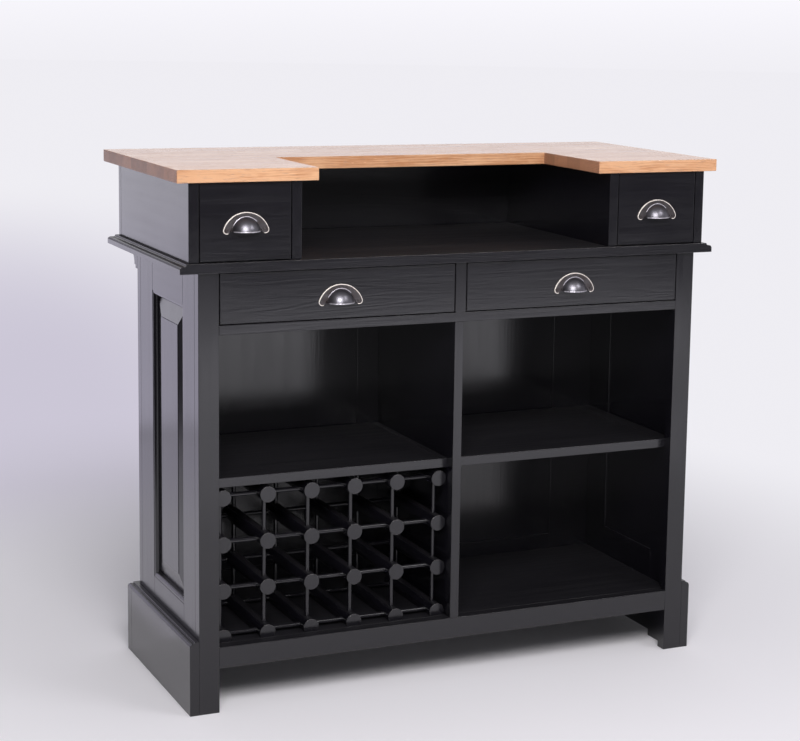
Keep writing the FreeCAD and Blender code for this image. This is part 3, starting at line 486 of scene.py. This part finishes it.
def aged_pewter(settings, name, base, patina_share, dullness, metal):
    """Pewter of one base colour under a share of dark brownish patina."""
    finish = Finish(name)
    place = finish.place()
    cloud = finish.noise(place, 95.0, 4.0, 0.6)
    speck = finish.noise(place, 700.0, 2.0, 0.5)
    patina = cloud.step(0.35, 0.65) * patina_share + speck.step(0.55, 0.75) * patina_share * 0.6
    colour = finish.mix(patina, rgba(base), rgba(settings.patina))
    return finish.surface(
        "pewter",
        Base_Color=colour,
        Metallic=metal,
        Roughness=dullness + (cloud - 0.5) * 0.16 + (speck - 0.5) * 0.10,
        Normal=finish.bump(cloud * 0.6 + speck * 0.4, settings.dent_depth),
    )


def bright_steel():
    """Zinc-plated screws under the worktop."""
    finish = Finish("plated_steel")
    place = finish.place()
    cloud = finish.noise(place, 240.0, 3.0, 0.6)
    turned = finish.noise(finish.vector("MULTIPLY", place, (1.0, 1.0, 14.0)), 260.0, 2.0, 0.5)
    marks_depth = 0.00008
    colour = finish.mix(cloud, rgba((0.50, 0.49, 0.46)), rgba((0.68, 0.67, 0.64)))
    return finish.surface(
        "steel",
        Base_Color=colour,
        Metallic=1.0,
        Roughness=0.26 + cloud * 0.2,
        Normal=finish.bump(turned, marks_depth),
    )


# Which way the grain of each painted board runs. Boards not named here stand upright.
GRAIN_ALONG_X = (
    "drawer_rail",
    "bottom_rail",
    "bottom_board",
    "drawer_deck",
    "left_shelf",
    "right_shelf",
    "middle_top",
    "back_rails",
    "upper_back_board",
    "plinth_back",
    "cove_moulding",
    "upper_left_drawer_front",
    "upper_right_drawer_front",
    "lower_left_drawer_front",
    "lower_right_drawer_front",
)
GRAIN_ALONG_Y = (
    "upper_side_left",
    "upper_side_right",
    "upper_partition_left",
    "upper_partition_right",
    "plinth_left",
    "plinth_right",
    "side_rails",
    "shelf_battens",
    "rack_rods",
)
PINE_ALONG_X = ("worktop_cleats",)

# Boards that meet flush under the paint, so that their joints hardly show, and thin mouldings.
FLUSH = (
    "side_rails",
    "side_legs_left",
    "side_legs_right",
    "side_panel_left",
    "side_panel_right",
    "back_rails",
    "back_centre_stile",
    "back_stile_left",
    "back_stile_right",
    "back_panel_left",
    "back_panel_right",
    "panel_mouldings",
)


def grain_axis(node):
    if node in GRAIN_ALONG_X or node in PINE_ALONG_X:
        return "x"
    if node in GRAIN_ALONG_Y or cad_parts[node].data.materials[0].name.startswith("bare_pine"):
        return "y"
    return "z"


def nodes_of_slot(slot):
    return [
        name
        for name, node in sorted(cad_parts.items())
        if node.data.materials[0].name.split(".")[0] == slot
    ]


def finish_nodes(slot, make):
    """Gives every CAD node of a slot the material made for its grain axis and kind of edge."""
    made = {}
    names = nodes_of_slot(slot)
    if not names:
        raise RuntimeError("the model has no piece in the slot " + slot)
    for name in names:
        kind = (grain_axis(name), name in FLUSH)
        if kind not in made:
            made[kind] = make(*kind)
        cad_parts[name].material_slots[0].material = made[kind]


# ---------------------------------------------------------------- modelling helpers


# Points nearer to each other, or to a plane, than this are taken as one place, in metres.
NEAR = 0.00002


def deselect_all():
    if bpy.context.object is not None and bpy.context.object.mode != "OBJECT":
        bpy.ops.object.mode_set(mode="OBJECT")
    bpy.ops.object.select_all(action="DESELECT")


def activate(piece):
    deselect_all()
    piece.select_set(True)
    bpy.context.view_layer.objects.active = piece


def new_piece(name):
    """Names the primitive that was just added and puts its place into its mesh."""
    piece = bpy.context.object
    piece.name = name
    piece.data.name = name
    bpy.ops.object.transform_apply(location=True, rotation=True, scale=True)
    return piece


def pick(piece, kind, test):
    """Selects the vertices, edges or faces whose centre passes the test, in edit mode."""
    activate(piece)
    bpy.ops.object.mode_set(mode="EDIT")
    bpy.ops.mesh.select_mode(type=kind)
    bpy.ops.mesh.select_all(action="DESELECT")
    bpy.ops.object.mode_set(mode="OBJECT")
    mesh = piece.data
    if kind == "FACE":
        for face in mesh.polygons:
            face.select = test(face.center)
    elif kind == "EDGE":
        for edge in mesh.edges:
            ends = [mesh.vertices[i].co for i in edge.vertices]
            edge.select = all(test(end) for end in ends)
    else:
        for corner in mesh.vertices:
            corner.select = test(corner.co)
    bpy.ops.object.mode_set(mode="EDIT")


def leave():
    bpy.ops.object.mode_set(mode="OBJECT")


def tidy_mesh(piece):
    """Merges doubled points and turns every face outwards."""
    activate(piece)
    bpy.ops.object.mode_set(mode="EDIT")
    bpy.ops.mesh.select_all(action="SELECT")
    bpy.ops.mesh.remove_doubles(threshold=NEAR)
    bpy.ops.mesh.normals_make_consistent(inside=False)
    leave()


def apply_modifier(piece, kind, **settings):
    activate(piece)
    modifier = piece.modifiers.new(kind.title(), kind)
    for name, value in settings.items():
        setattr(modifier, name, value)
    bpy.ops.object.modifier_apply(modifier=modifier.name)


def cut(piece, point, normal, keep_side):
    """Cuts the piece by a plane; keeps the side its normal points to (1) or the other (-1)."""
    activate(piece)
    bpy.ops.object.mode_set(mode="EDIT")
    bpy.ops.mesh.select_all(action="SELECT")
    bpy.ops.mesh.bisect(
        plane_co=point,
        plane_no=normal,
        clear_inner=keep_side > 0,
        clear_outer=keep_side < 0,
        threshold=0.000001,
    )
    leave()


def join_pieces(pieces, name):
    activate(pieces[0])
    for piece in pieces:
        piece.select_set(True)
    bpy.context.view_layer.objects.active = pieces[0]
    bpy.ops.object.join()
    pieces[0].name = name
    pieces[0].data.name = name
    return pieces[0]


def smooth(piece, degrees=35.0):
    activate(piece)
    bpy.ops.object.shade_smooth_by_angle(angle=math.radians(degrees))


def fit_copy(pattern, name, offset):
    """A copy with its own mesh, moved to its place inside that mesh."""
    copy = pattern.copy()
    copy.data = pattern.data.copy()
    copy.name = name
    copy.data.name = name
    bpy.context.scene.collection.objects.link(copy)
    activate(copy)
    copy.location = offset
    bpy.ops.object.transform_apply(location=True, rotation=False, scale=False)
    return copy


def drop(piece):
    mesh = piece.data
    bpy.data.objects.remove(piece)
    bpy.data.meshes.remove(mesh)


# ---------------------------------------------------------------- cup pull

# A pull is modelled with the middle of its round at the origin, its back on the plane y = 0 and
# its front towards -y. One copy goes to each drawer front.

# Where the cup's wall meets the plate, as a share of the plate's thickness.
ROOT_SHARE = 0.6
# The bead at the root is this much thicker than the one at the mouth.
ROOT_BEAD = 1.25
# The upper part of the root bead, painted bright as a painted highlight, in degrees round from the
# right.
HIGHLIT_FROM, HIGHLIT_TO = 48.0, 148.0


def pull_plate(sizes):
    """The arched plate with rounded ears, as one closed mesh; the ears end at z = 0."""
    half_width = sizes.plate_width / 2
    middle = sizes.outer_radius - half_width
    centre = Vector((0.0, 0.0, -sizes.drop))
    ear_angle = math.asin((half_width + sizes.drop) / middle)
    across = Vector((math.cos(ear_angle), 0.0, math.sin(ear_angle)))
    along = Vector((-math.sin(ear_angle), 0.0, math.cos(ear_angle)))
    ear = centre + across * middle
    ear_inner_x = ear.x - half_width * 0.4
    bpy.ops.mesh.primitive_circle_add(
        vertices=40,
        radius=half_width,
        fill_type="NGON",
        location=ear,
        rotation=(math.pi / 2, -ear_angle, 0.0),
    )
    plate = new_piece("pull_plate")
    cut(plate, ear, along, -1)
    pick(plate, "EDGE", lambda point: abs((point - ear).dot(along)) < NEAR)
    bpy.ops.mesh.spin(
        steps=26,
        angle=math.pi / 2 - ear_angle,
        center=centre,
        axis=(0.0, 1.0, 0.0),
    )
    leave()
    apply_modifier(
        plate,
        "MIRROR",
        use_axis=(True, False, False),
        use_clip=True,
        merge_threshold=NEAR,
    )
    tidy_mesh(plate)
    pick(plate, "FACE", lambda centre: True)
    bpy.ops.mesh.inset(thickness=sizes.rubbed_border, use_even_offset=True)
    bpy.ops.mesh.select_all(action="INVERT")
    leave()
    for face in plate.data.polygons:
        outside = (face.center - centre).length > middle or face.center.z < ear.z
        on_arch = abs(face.center.x) > ear_inner_x or face.center.z > ear.z
        face.material_index = 1 if face.select and outside and on_arch else 0
    apply_modifier(plate, "SOLIDIFY", thickness=sizes.plate_thickness, offset=0.0)
    activate(plate)
    plate.location.y = -sizes.plate_thickness / 2
    bpy.ops.object.transform_apply(location=True, rotation=False, scale=False)
    tidy_mesh(plate)
    apply_modifier(
        plate,
        "BEVEL",
        width=sizes.plate_round,
        segments=3,
        limit_method="ANGLE",
        angle_limit=math.radians(50.0),
    )
    return plate


def pull_cup(sizes):
    """The pressed cup: a ball's cap, open at the mouth; cup_pull gives it its wall."""
    bpy.ops.mesh.primitive_uv_sphere_add(
        segments=72,
        ring_count=48,
        radius=sizes.ball_radius,
        location=(0.0, sizes.ball_depth, 0.0),
        rotation=(math.pi / 2, 0.0, 0.0),
    )
    cup = new_piece("pull_cup")
    cut(cup, (0.0, -sizes.plate_thickness * ROOT_SHARE, 0.0), (0.0, -1.0, 0.0), 1)
    cut(cup, (0.0, 0.0, sizes.mouth), (0.0, 0.0, 1.0), 1)
    pick(cup, "VERT", lambda point: True)
    bpy.ops.transform.resize(value=(sizes.narrowing, 1.0, 1.0), center_override=(0.0, 0.0, 0.0))
    leave()
    tidy_mesh(cup)
    return cup


def bead_on(piece, name, test, radius):
    """A round bead along the edges of a piece that pass the test."""
    pick(piece, "EDGE", test)
    bpy.ops.mesh.duplicate()
    bpy.ops.mesh.separate(type="SELECTED")
    leave()
    bead = next(other for other in bpy.context.selected_objects if other is not piece)
    activate(bead)
    bead.name = name
    bpy.ops.object.convert(target="CURVE")
    bead.data.bevel_depth = radius
    bead.data.bevel_resolution = 3
    bead.data.use_fill_caps = True
    bpy.ops.object.convert(target="MESH")
    bead = bpy.context.object
    bead.name = name
    tidy_mesh(bead)
    return bead


def cup_pull(sizes, metals):
    """Plate, cup, root bead and mouth bead of one pull, joined as one pressing."""
    pewter, smooth_pewter, rubbed_and_highlit, worn = metals
    plate = pull_plate(sizes)
    cup = pull_cup(sizes)
    clear_of_plate = -sizes.plate_thickness * 3.0
    root_y = -sizes.plate_thickness * ROOT_SHARE

    def at_mouth(point):
        return abs(point.z - sizes.mouth) < NEAR and point.y < clear_of_plate

    def at_root(point):
        return abs(point.y - root_y) < NEAR

    mouth = bead_on(cup, "pull_mouth", at_mouth, sizes.bead)
    root = bead_on(cup, "pull_root", at_root, sizes.bead * ROOT_BEAD)
    apply_modifier(cup, "SOLIDIFY", thickness=sizes.wall, offset=-1.0, use_even_offset=True)
    plate.data.materials.append(pewter)
    plate.data.materials.append(worn)
    # The mouth bead is bright pewter all round, partly a painted highlight along the lip.
    for part, slots in ((cup, (smooth_pewter,)), (root, (pewter, rubbed_and_highlit)), (mouth, (rubbed_and_highlit,))):
        part.data.materials.clear()
        for metal in slots:
            part.data.materials.append(metal)
    # The upper arc of the root bead gets the bright pewter as a painted highlight.
    for face in root.data.polygons:
        turn = math.degrees(math.atan2(face.center.z, face.center.x))
        face.material_index = 1 if HIGHLIT_FROM < turn < HIGHLIT_TO else 0
    pull = join_pieces([plate, cup, root, mouth], "cup_pull")
    smooth(pull)
    return pull


def pull_screw(radius, head, shank_end, metal, rubbed_and_highlit):
    """A slotted round-head screw along y, its head's seat at y = 0."""
    crown_y = -head * 0.98
    seat_y = -head * 0.02
    crown_round = head * 0.55
    rim = radius * 0.10
    half_slot = radius * 0.13
    slot_depth = head * 0.5
    shank_inset = radius * 0.5
    point_length = shank_end * 0.14
    point_share = 0.25

    def in_front(centre):
        return centre.y < crown_y

    def in_crown(centre):
        return in_front(centre) and centre.xz.length < radius * 0.5

    def in_slot(centre):
        middle = abs(centre.z) < radius * 0.05 and abs(centre.x) < radius * 0.3
        return in_front(centre) and middle

    bpy.ops.mesh.primitive_cylinder_add(
        vertices=32,
        radius=radius,
        depth=head,
        location=(0.0, -head / 2, 0.0),
        rotation=(math.pi / 2, 0.0, 0.0),
    )
    screw = new_piece("pull_screw")
    pick(screw, "FACE", in_front)
    bpy.ops.mesh.bevel(offset=crown_round, segments=4, affect="EDGES", profile=0.6)
    leave()
    # The slot lies between two cuts across the crown.
    pick(screw, "FACE", in_front)
    bpy.ops.mesh.inset(thickness=rim)
    bpy.ops.mesh.bisect(plane_co=(0.0, 0.0, half_slot), plane_no=(0.0, 0.0, 1.0))
    leave()
    pick(screw, "FACE", in_crown)
    bpy.ops.mesh.bisect(plane_co=(0.0, 0.0, -half_slot), plane_no=(0.0, 0.0, 1.0))
    leave()
    pick(screw, "FACE", in_slot)
    bpy.ops.mesh.extrude_region_move(TRANSFORM_OT_translate={"value": (0.0, slot_depth, 0.0)})
    leave()
    # The shank grows out of the seat and ends in a point.
    pick(screw, "FACE", lambda centre: centre.y > seat_y)
    bpy.ops.mesh.inset(thickness=shank_inset)
    for length in (shank_end - point_length, point_length):
        bpy.ops.mesh.extrude_region_move(TRANSFORM_OT_translate={"value": (0.0, length, 0.0)})
    bpy.ops.transform.resize(value=(point_share, 1.0, point_share))
    leave()
    tidy_mesh(screw)
    screw.data.materials.append(metal)
    screw.data.materials.append(rubbed_and_highlit)
    # The middle of the crown gets the lighter pewter.
    for face in screw.data.polygons:
        lighter_crown = in_front(face.center) and face.center.xz.length < radius * 0.4
        face.material_index = 1 if lighter_crown else 0
    smooth(screw, 30.0)
    return screw


# ---------------------------------------------------------------- operators


class COUNTER_OT_paint_boards(bpy.types.Operator):
    """Paint the case, the boards, the rack and the drawer fronts"""

    bl_idname = "counter.paint_boards"
    bl_label = "Paint the boards"
    bl_options = {"REGISTER", "UNDO"}

    def execute(self, context):
        settings = context.scene.counter_paint
        edges = {False: settings.arris, True: settings.flush_arris}
        names = {False: "satin_black_grain_", True: "flush_black_grain_"}
        finish_nodes(
            "black_paint",
            lambda axis, flush: painted_board(settings, axis, edges[flush], names[flush]),
        )
        return {"FINISHED"}


class COUNTER_OT_oil_worktop(bpy.types.Operator):
    """Oil the oak worktop"""

    bl_idname = "counter.oil_worktop"
    bl_label = "Oil the worktop"
    bl_options = {"REGISTER", "UNDO"}

    def execute(self, context):
        settings = context.scene.counter_oak
        finish_nodes("oak", lambda axis, flush: oiled_oak(settings))
        return {"FINISHED"}


class COUNTER_OT_plane_pine(bpy.types.Operator):
    """Finish the bare pine of the drawer boxes, guides, cleats and dowels"""

    bl_idname = "counter.plane_pine"
    bl_label = "Plane the bare pine"
    bl_options = {"REGISTER", "UNDO"}

    def execute(self, context):
        settings = context.scene.counter_pine
        finish_nodes("bare_pine", lambda axis, flush: bare_pine(settings, axis))
        return {"FINISHED"}


class COUNTER_OT_plate_screws(bpy.types.Operator):
    """Plate the screws under the worktop"""

    bl_idname = "counter.plate_screws"
    bl_label = "Plate the worktop screws"
    bl_options = {"REGISTER", "UNDO"}

    def execute(self, context):
        finish_nodes("steel", lambda axis, flush: bright_steel())
        return {"FINISHED"}


class COUNTER_OT_fit_pulls(bpy.types.Operator):
    """Model the cup pull and fit one to each drawer front"""

    bl_idname = "counter.fit_pulls"
    bl_label = "Fit the cup pulls"
    bl_options = {"REGISTER", "UNDO"}

    def execute(self, context):
        sizes = context.scene.counter_pull
        metals = [
            aged_pewter(sizes, name, colour, patina_share, dullness, metal)
            for name, colour, patina_share, dullness, metal in (
                ("aged_pewter", sizes.colour, 0.55, 0.40, 1.0),
                ("smooth_pewter", sizes.cup_colour, 0.15, 0.37, 1.0),
                ("rubbed_and_highlit_pewter", sizes.rubbed_and_highlit_colour, 0.15, 0.42, 0.75),
                ("worn_outline", sizes.edge_colour, 0.10, 0.45, 0.45),
            )
        ]
        pattern = cup_pull(sizes, metals)
        for drawer in DRAWERS:
            low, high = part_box(drawer + "_pull")
            offset = ((low.x + high.x) / 2, high.y, low.z)
            pull = fit_copy(pattern, drawer + "_cup_pull", offset)
            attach(pull, drawer)
            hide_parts(drawer + "_pull")
        drop(pattern)
        return {"FINISHED"}


class COUNTER_OT_fit_pull_screws(bpy.types.Operator):
    """Model the pull's screw and fit two to each cup pull"""

    bl_idname = "counter.fit_pull_screws"
    bl_label = "Fit the pull screws"
    bl_options = {"REGISTER", "UNDO"}

    def execute(self, context):
        sizes = context.scene.counter_pull
        pewter = bpy.data.materials["aged_pewter"]
        rubbed_and_highlit = bpy.data.materials["rubbed_and_highlit_pewter"]
        for drawer in DRAWERS:
            low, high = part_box(drawer + "_pull_screws")
            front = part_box(drawer + "_front")[0].y
            seat = front - sizes.plate_thickness
            radius = (high.z - low.z) / 2
            pattern = pull_screw(radius, seat - low.y, high.y - seat, pewter, rubbed_and_highlit)
            pair = []
            for x in (low.x + radius, high.x - radius):
                pair.append(fit_copy(pattern, "screw", (x, seat, (low.z + high.z) / 2)))
            screws = join_pieces(pair, drawer + "_screws")
            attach(screws, drawer)
            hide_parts(drawer + "_pull_screws")
            drop(pattern)
        return {"FINISHED"}


class COUNTER_OT_set_stage(bpy.types.Operator):
    """Put down the floor, hang the lights and place the camera"""

    bl_idname = "counter.set_stage"
    bl_label = "Set the stage"
    bl_options = {"REGISTER", "UNDO"}

    def execute(self, context):
        settings = context.scene.counter_stage
        place_camera(context.scene, settings)
        lay_floor(settings)
        hang_lights(context.scene, settings)
        return {"FINISHED"}


# ---------------------------------------------------------------- stage


# The camera stands to the left in front of the barkeeper's side; its turn is in degrees.
CAMERA_PLACE = (-1.649654, -3.755468, 1.385677)
CAMERA_TURN = (81.0632, -1.0099, -25.0254)
CAMERA_SHIFT = (-0.0750, -0.0756)
SENSOR_WIDTH = 36.0
CAMERA_REACH = 200.0

FLOOR_RADIUS = 40.0
BLACK = (0.0, 0.0, 0.0)
FLAG_DARK = (0.02, 0.02, 0.02)
FLAG_PALE = (0.05, 0.05, 0.05)

# The colours of the lamps, from the warmest to the coolest.
LAMP_WHITE = (1.0, 0.985, 0.98)
FILL_WHITE = (1.0, 0.99, 1.0)
PALE_DAYLIGHT = (0.94, 0.92, 1.0)
DAYLIGHT = (0.82, 0.78, 1.0)

# The point that the lamps overhead are aimed at.
COUNTER_MIDDLE = (0.0, 0.0, 0.6)


def place_camera(scene, settings):
    camera = bpy.data.objects.new("camera", bpy.data.cameras.new("camera"))
    scene.collection.objects.link(camera)
    camera.location = CAMERA_PLACE
    camera.rotation_euler = [math.radians(angle) for angle in CAMERA_TURN]
    camera.data.lens = settings.lens
    camera.data.sensor_width = SENSOR_WIDTH
    camera.data.shift_x, camera.data.shift_y = CAMERA_SHIFT
    camera.data.clip_end = CAMERA_REACH
    scene.camera = camera


def lay_floor(settings):
    """A wide round floor that melts into the pale light of the room around it."""
    deselect_all()
    bpy.ops.mesh.primitive_circle_add(vertices=96, radius=FLOOR_RADIUS, fill_type="NGON")
    floor = new_piece("studio_floor")
    finish = Finish("studio_floor")
    x, y = finish.split(finish.place())[:2]
    away = (x * x * 1.6 + y * y).root().step(0.55, 2.6)
    cloud = finish.noise(finish.place(), 0.9, 3.0, 0.5)
    near = finish.mix(cloud, rgba(settings.floor_colour, 0.97), rgba(settings.floor_colour, 1.02))
    # The counter's soft shade lies on the room behind its left side.
    shade = (x - y * 0.10).step(1.6, -0.3) * y.step(0.6, 1.8) * y.step(11.0, 3.5)
    room = finish.mix(shade, rgba(settings.wall_colour), rgba(settings.shade_colour))
    # The floor glows: faintly near the counter, where this lightens the shadow, and further out as
    # the pale room with its painted shade.
    finish.surface(
        "floor",
        Base_Color=finish.mix(away, near, rgba(BLACK)),
        Roughness=0.62 + cloud * 0.1,
        Specular_IOR_Level=0.0,
        Emission_Color=finish.mix(away, rgba(settings.floor_colour, 0.015), room),
        Emission_Strength=1.0,
    )
    floor.data.materials.append(finish.owner)


def soft_light(name, power, size, place, target, colour):
    """A soft rectangular lamp that points at a place and isn't seen itself."""
    lamp = bpy.data.lights.new(name, "AREA")
    lamp.shape = "RECTANGLE"
    lamp.size, lamp.size_y = size
    lamp.energy = power
    lamp.color = colour
    light = bpy.data.objects.new(name, lamp)
    bpy.context.scene.collection.objects.link(light)
    light.location = place
    light.rotation_euler = (Vector(target) - Vector(place)).to_track_quat("-Z", "Y").to_euler()
    light.visible_camera = False


def floor_glow(name, power, size, x, y, colour):
    """A soft lamp lying on the floor that shines straight up."""
    soft_light(name, power, size, (x, y, 0.01), (x, y, 1.0), colour)


def black_flag(name, low, high):
    """An upright black cloth that keeps part of the room dark, unseen by the camera."""
    deselect_all()
    run = Vector(high) - Vector(low)
    turn = math.atan2(run.y, run.x)
    bpy.ops.mesh.primitive_plane_add(size=1.0)
    flag = bpy.context.object
    flag.name = name
    flag.scale = (Vector((run.x, run.y)).length, run.z, 1.0)
    flag.rotation_euler = (math.pi / 2, 0.0, turn)
    flag.location = (Vector(low) + Vector(high)) / 2
    finish = Finish(name)
    weave = finish.noise(finish.place(), 30.0, 2.0, 0.5)
    threads = finish.mix(weave, rgba(FLAG_DARK), rgba(FLAG_PALE))
    flag.data.materials.append(finish.surface("flag", Base_Color=threads))
    flag.visible_camera = False
    flag.visible_shadow = False


def pale_room(settings):
    """The room's own light: pale behind the counter, dimmer in front and overhead."""
    room = Finish("pale_room", "worlds")
    x, y, z = room.split(room.node("ShaderNodeTexCoord", output="Generated"))
    wall = settings.wall_colour
    behind = y.step(-0.7, 0.7)
    pale = room.mix(z.step(-0.05, 0.10), rgba(wall), rgba(wall, 1.35))
    back = room.mix(x.step(0.05, -0.20), pale, rgba(settings.shade_colour, 0.85))
    sides = room.mix(behind, rgba(wall, 0.45), back)
    colour = room.mix(z.step(0.25, 0.60), sides, rgba(wall, 0.25))
    background = room.node("ShaderNodeBackground", None, {"Color": colour, "Strength": 1.0})
    room.node("ShaderNodeOutputWorld", None, {"Surface": background})
    return room.owner


def hang_lights(scene, settings):
    """Two lamps overhead, a window and a glow at the left, two glows in front, two flags."""
    soft_light(
        "key_light",
        settings.key_power,
        (2.2, 1.5),
        (-1.2, -3.3, 3.0),
        COUNTER_MIDDLE,
        LAMP_WHITE,
    )
    soft_light(
        "fill_light",
        settings.fill_power,
        (1.4, 0.8),
        (1.7, -2.4, 3.0),
        COUNTER_MIDDLE,
        FILL_WHITE,
    )
    soft_light(
        "window_light",
        settings.window_power,
        (0.85, 0.9),
        (-1.16, 2.23, 0.47),
        (-0.57, 0.0, 0.47),
        DAYLIGHT,
    )
    floor_glow("side_glow", settings.side_power, (0.7, 1.9), -1.0, 1.15, DAYLIGHT)
    floor_glow("near_glow", settings.near_power, (2.8, 1.45), 0.5, -2.45, PALE_DAYLIGHT)
    floor_glow("far_glow", settings.far_power, (3.45, 1.28), 1.22, -3.895, PALE_DAYLIGHT)
    black_flag("front_flag", (-3.0, -4.6, 0.0), (4.0, -4.9, 2.2))
    black_flag("left_flag", (-2.0, -2.4, 0.0), (-2.0, 2.6, 2.2))
    scene.world = pale_room(settings)
    scene.view_settings.view_transform = "Standard"


# ---------------------------------------------------------------- panel and registration


class COUNTER_PT_workshop(bpy.types.Panel):
    """The steps of fitting out the counter, in order"""

    bl_idname = "COUNTER_PT_workshop"
    bl_label = "Bar counter"
    bl_space_type = "VIEW_3D"
    bl_region_type = "UI"
    bl_category = "Bar counter"

    def draw(self, context):
        for group, operators in STEPS:
            box = self.layout.box()
            if group:
                settings = getattr(context.scene, group)
                for name in settings.__annotations__:
                    box.prop(settings, name)
            for operator in operators:
                box.operator(operator.bl_idname)


SETTINGS = {
    "counter_paint": PaintSettings,
    "counter_oak": OakSettings,
    "counter_pine": PineSettings,
    "counter_pull": PullSettings,
    "counter_stage": StageSettings,
}
STEPS = (
    ("counter_stage", (COUNTER_OT_set_stage,)),
    ("counter_paint", (COUNTER_OT_paint_boards,)),
    ("counter_oak", (COUNTER_OT_oil_worktop,)),
    ("counter_pine", (COUNTER_OT_plane_pine,)),
    ("", (COUNTER_OT_plate_screws,)),
    ("counter_pull", (COUNTER_OT_fit_pulls, COUNTER_OT_fit_pull_screws)),
)
OPERATORS = [operator for group, operators in STEPS for operator in operators]


def register():
    for cls in (*SETTINGS.values(), *OPERATORS, COUNTER_PT_workshop):
        bpy.utils.register_class(cls)
    for name, cls in SETTINGS.items():
        setattr(bpy.types.Scene, name, bpy.props.PointerProperty(type=cls))


def unregister():
    for name in SETTINGS:
        delattr(bpy.types.Scene, name)
    for cls in (COUNTER_PT_workshop, *reversed(OPERATORS), *reversed(SETTINGS.values())):
        bpy.utils.unregister_class(cls)


def main():
    register()
    bpy.ops.counter.set_stage()
    bpy.ops.counter.paint_boards()
    bpy.ops.counter.oil_worktop()
    bpy.ops.counter.plane_pine()
    bpy.ops.counter.plate_screws()
    bpy.ops.counter.fit_pulls()
    bpy.ops.counter.fit_pull_screws()


if __name__ == "__main__":
    main()
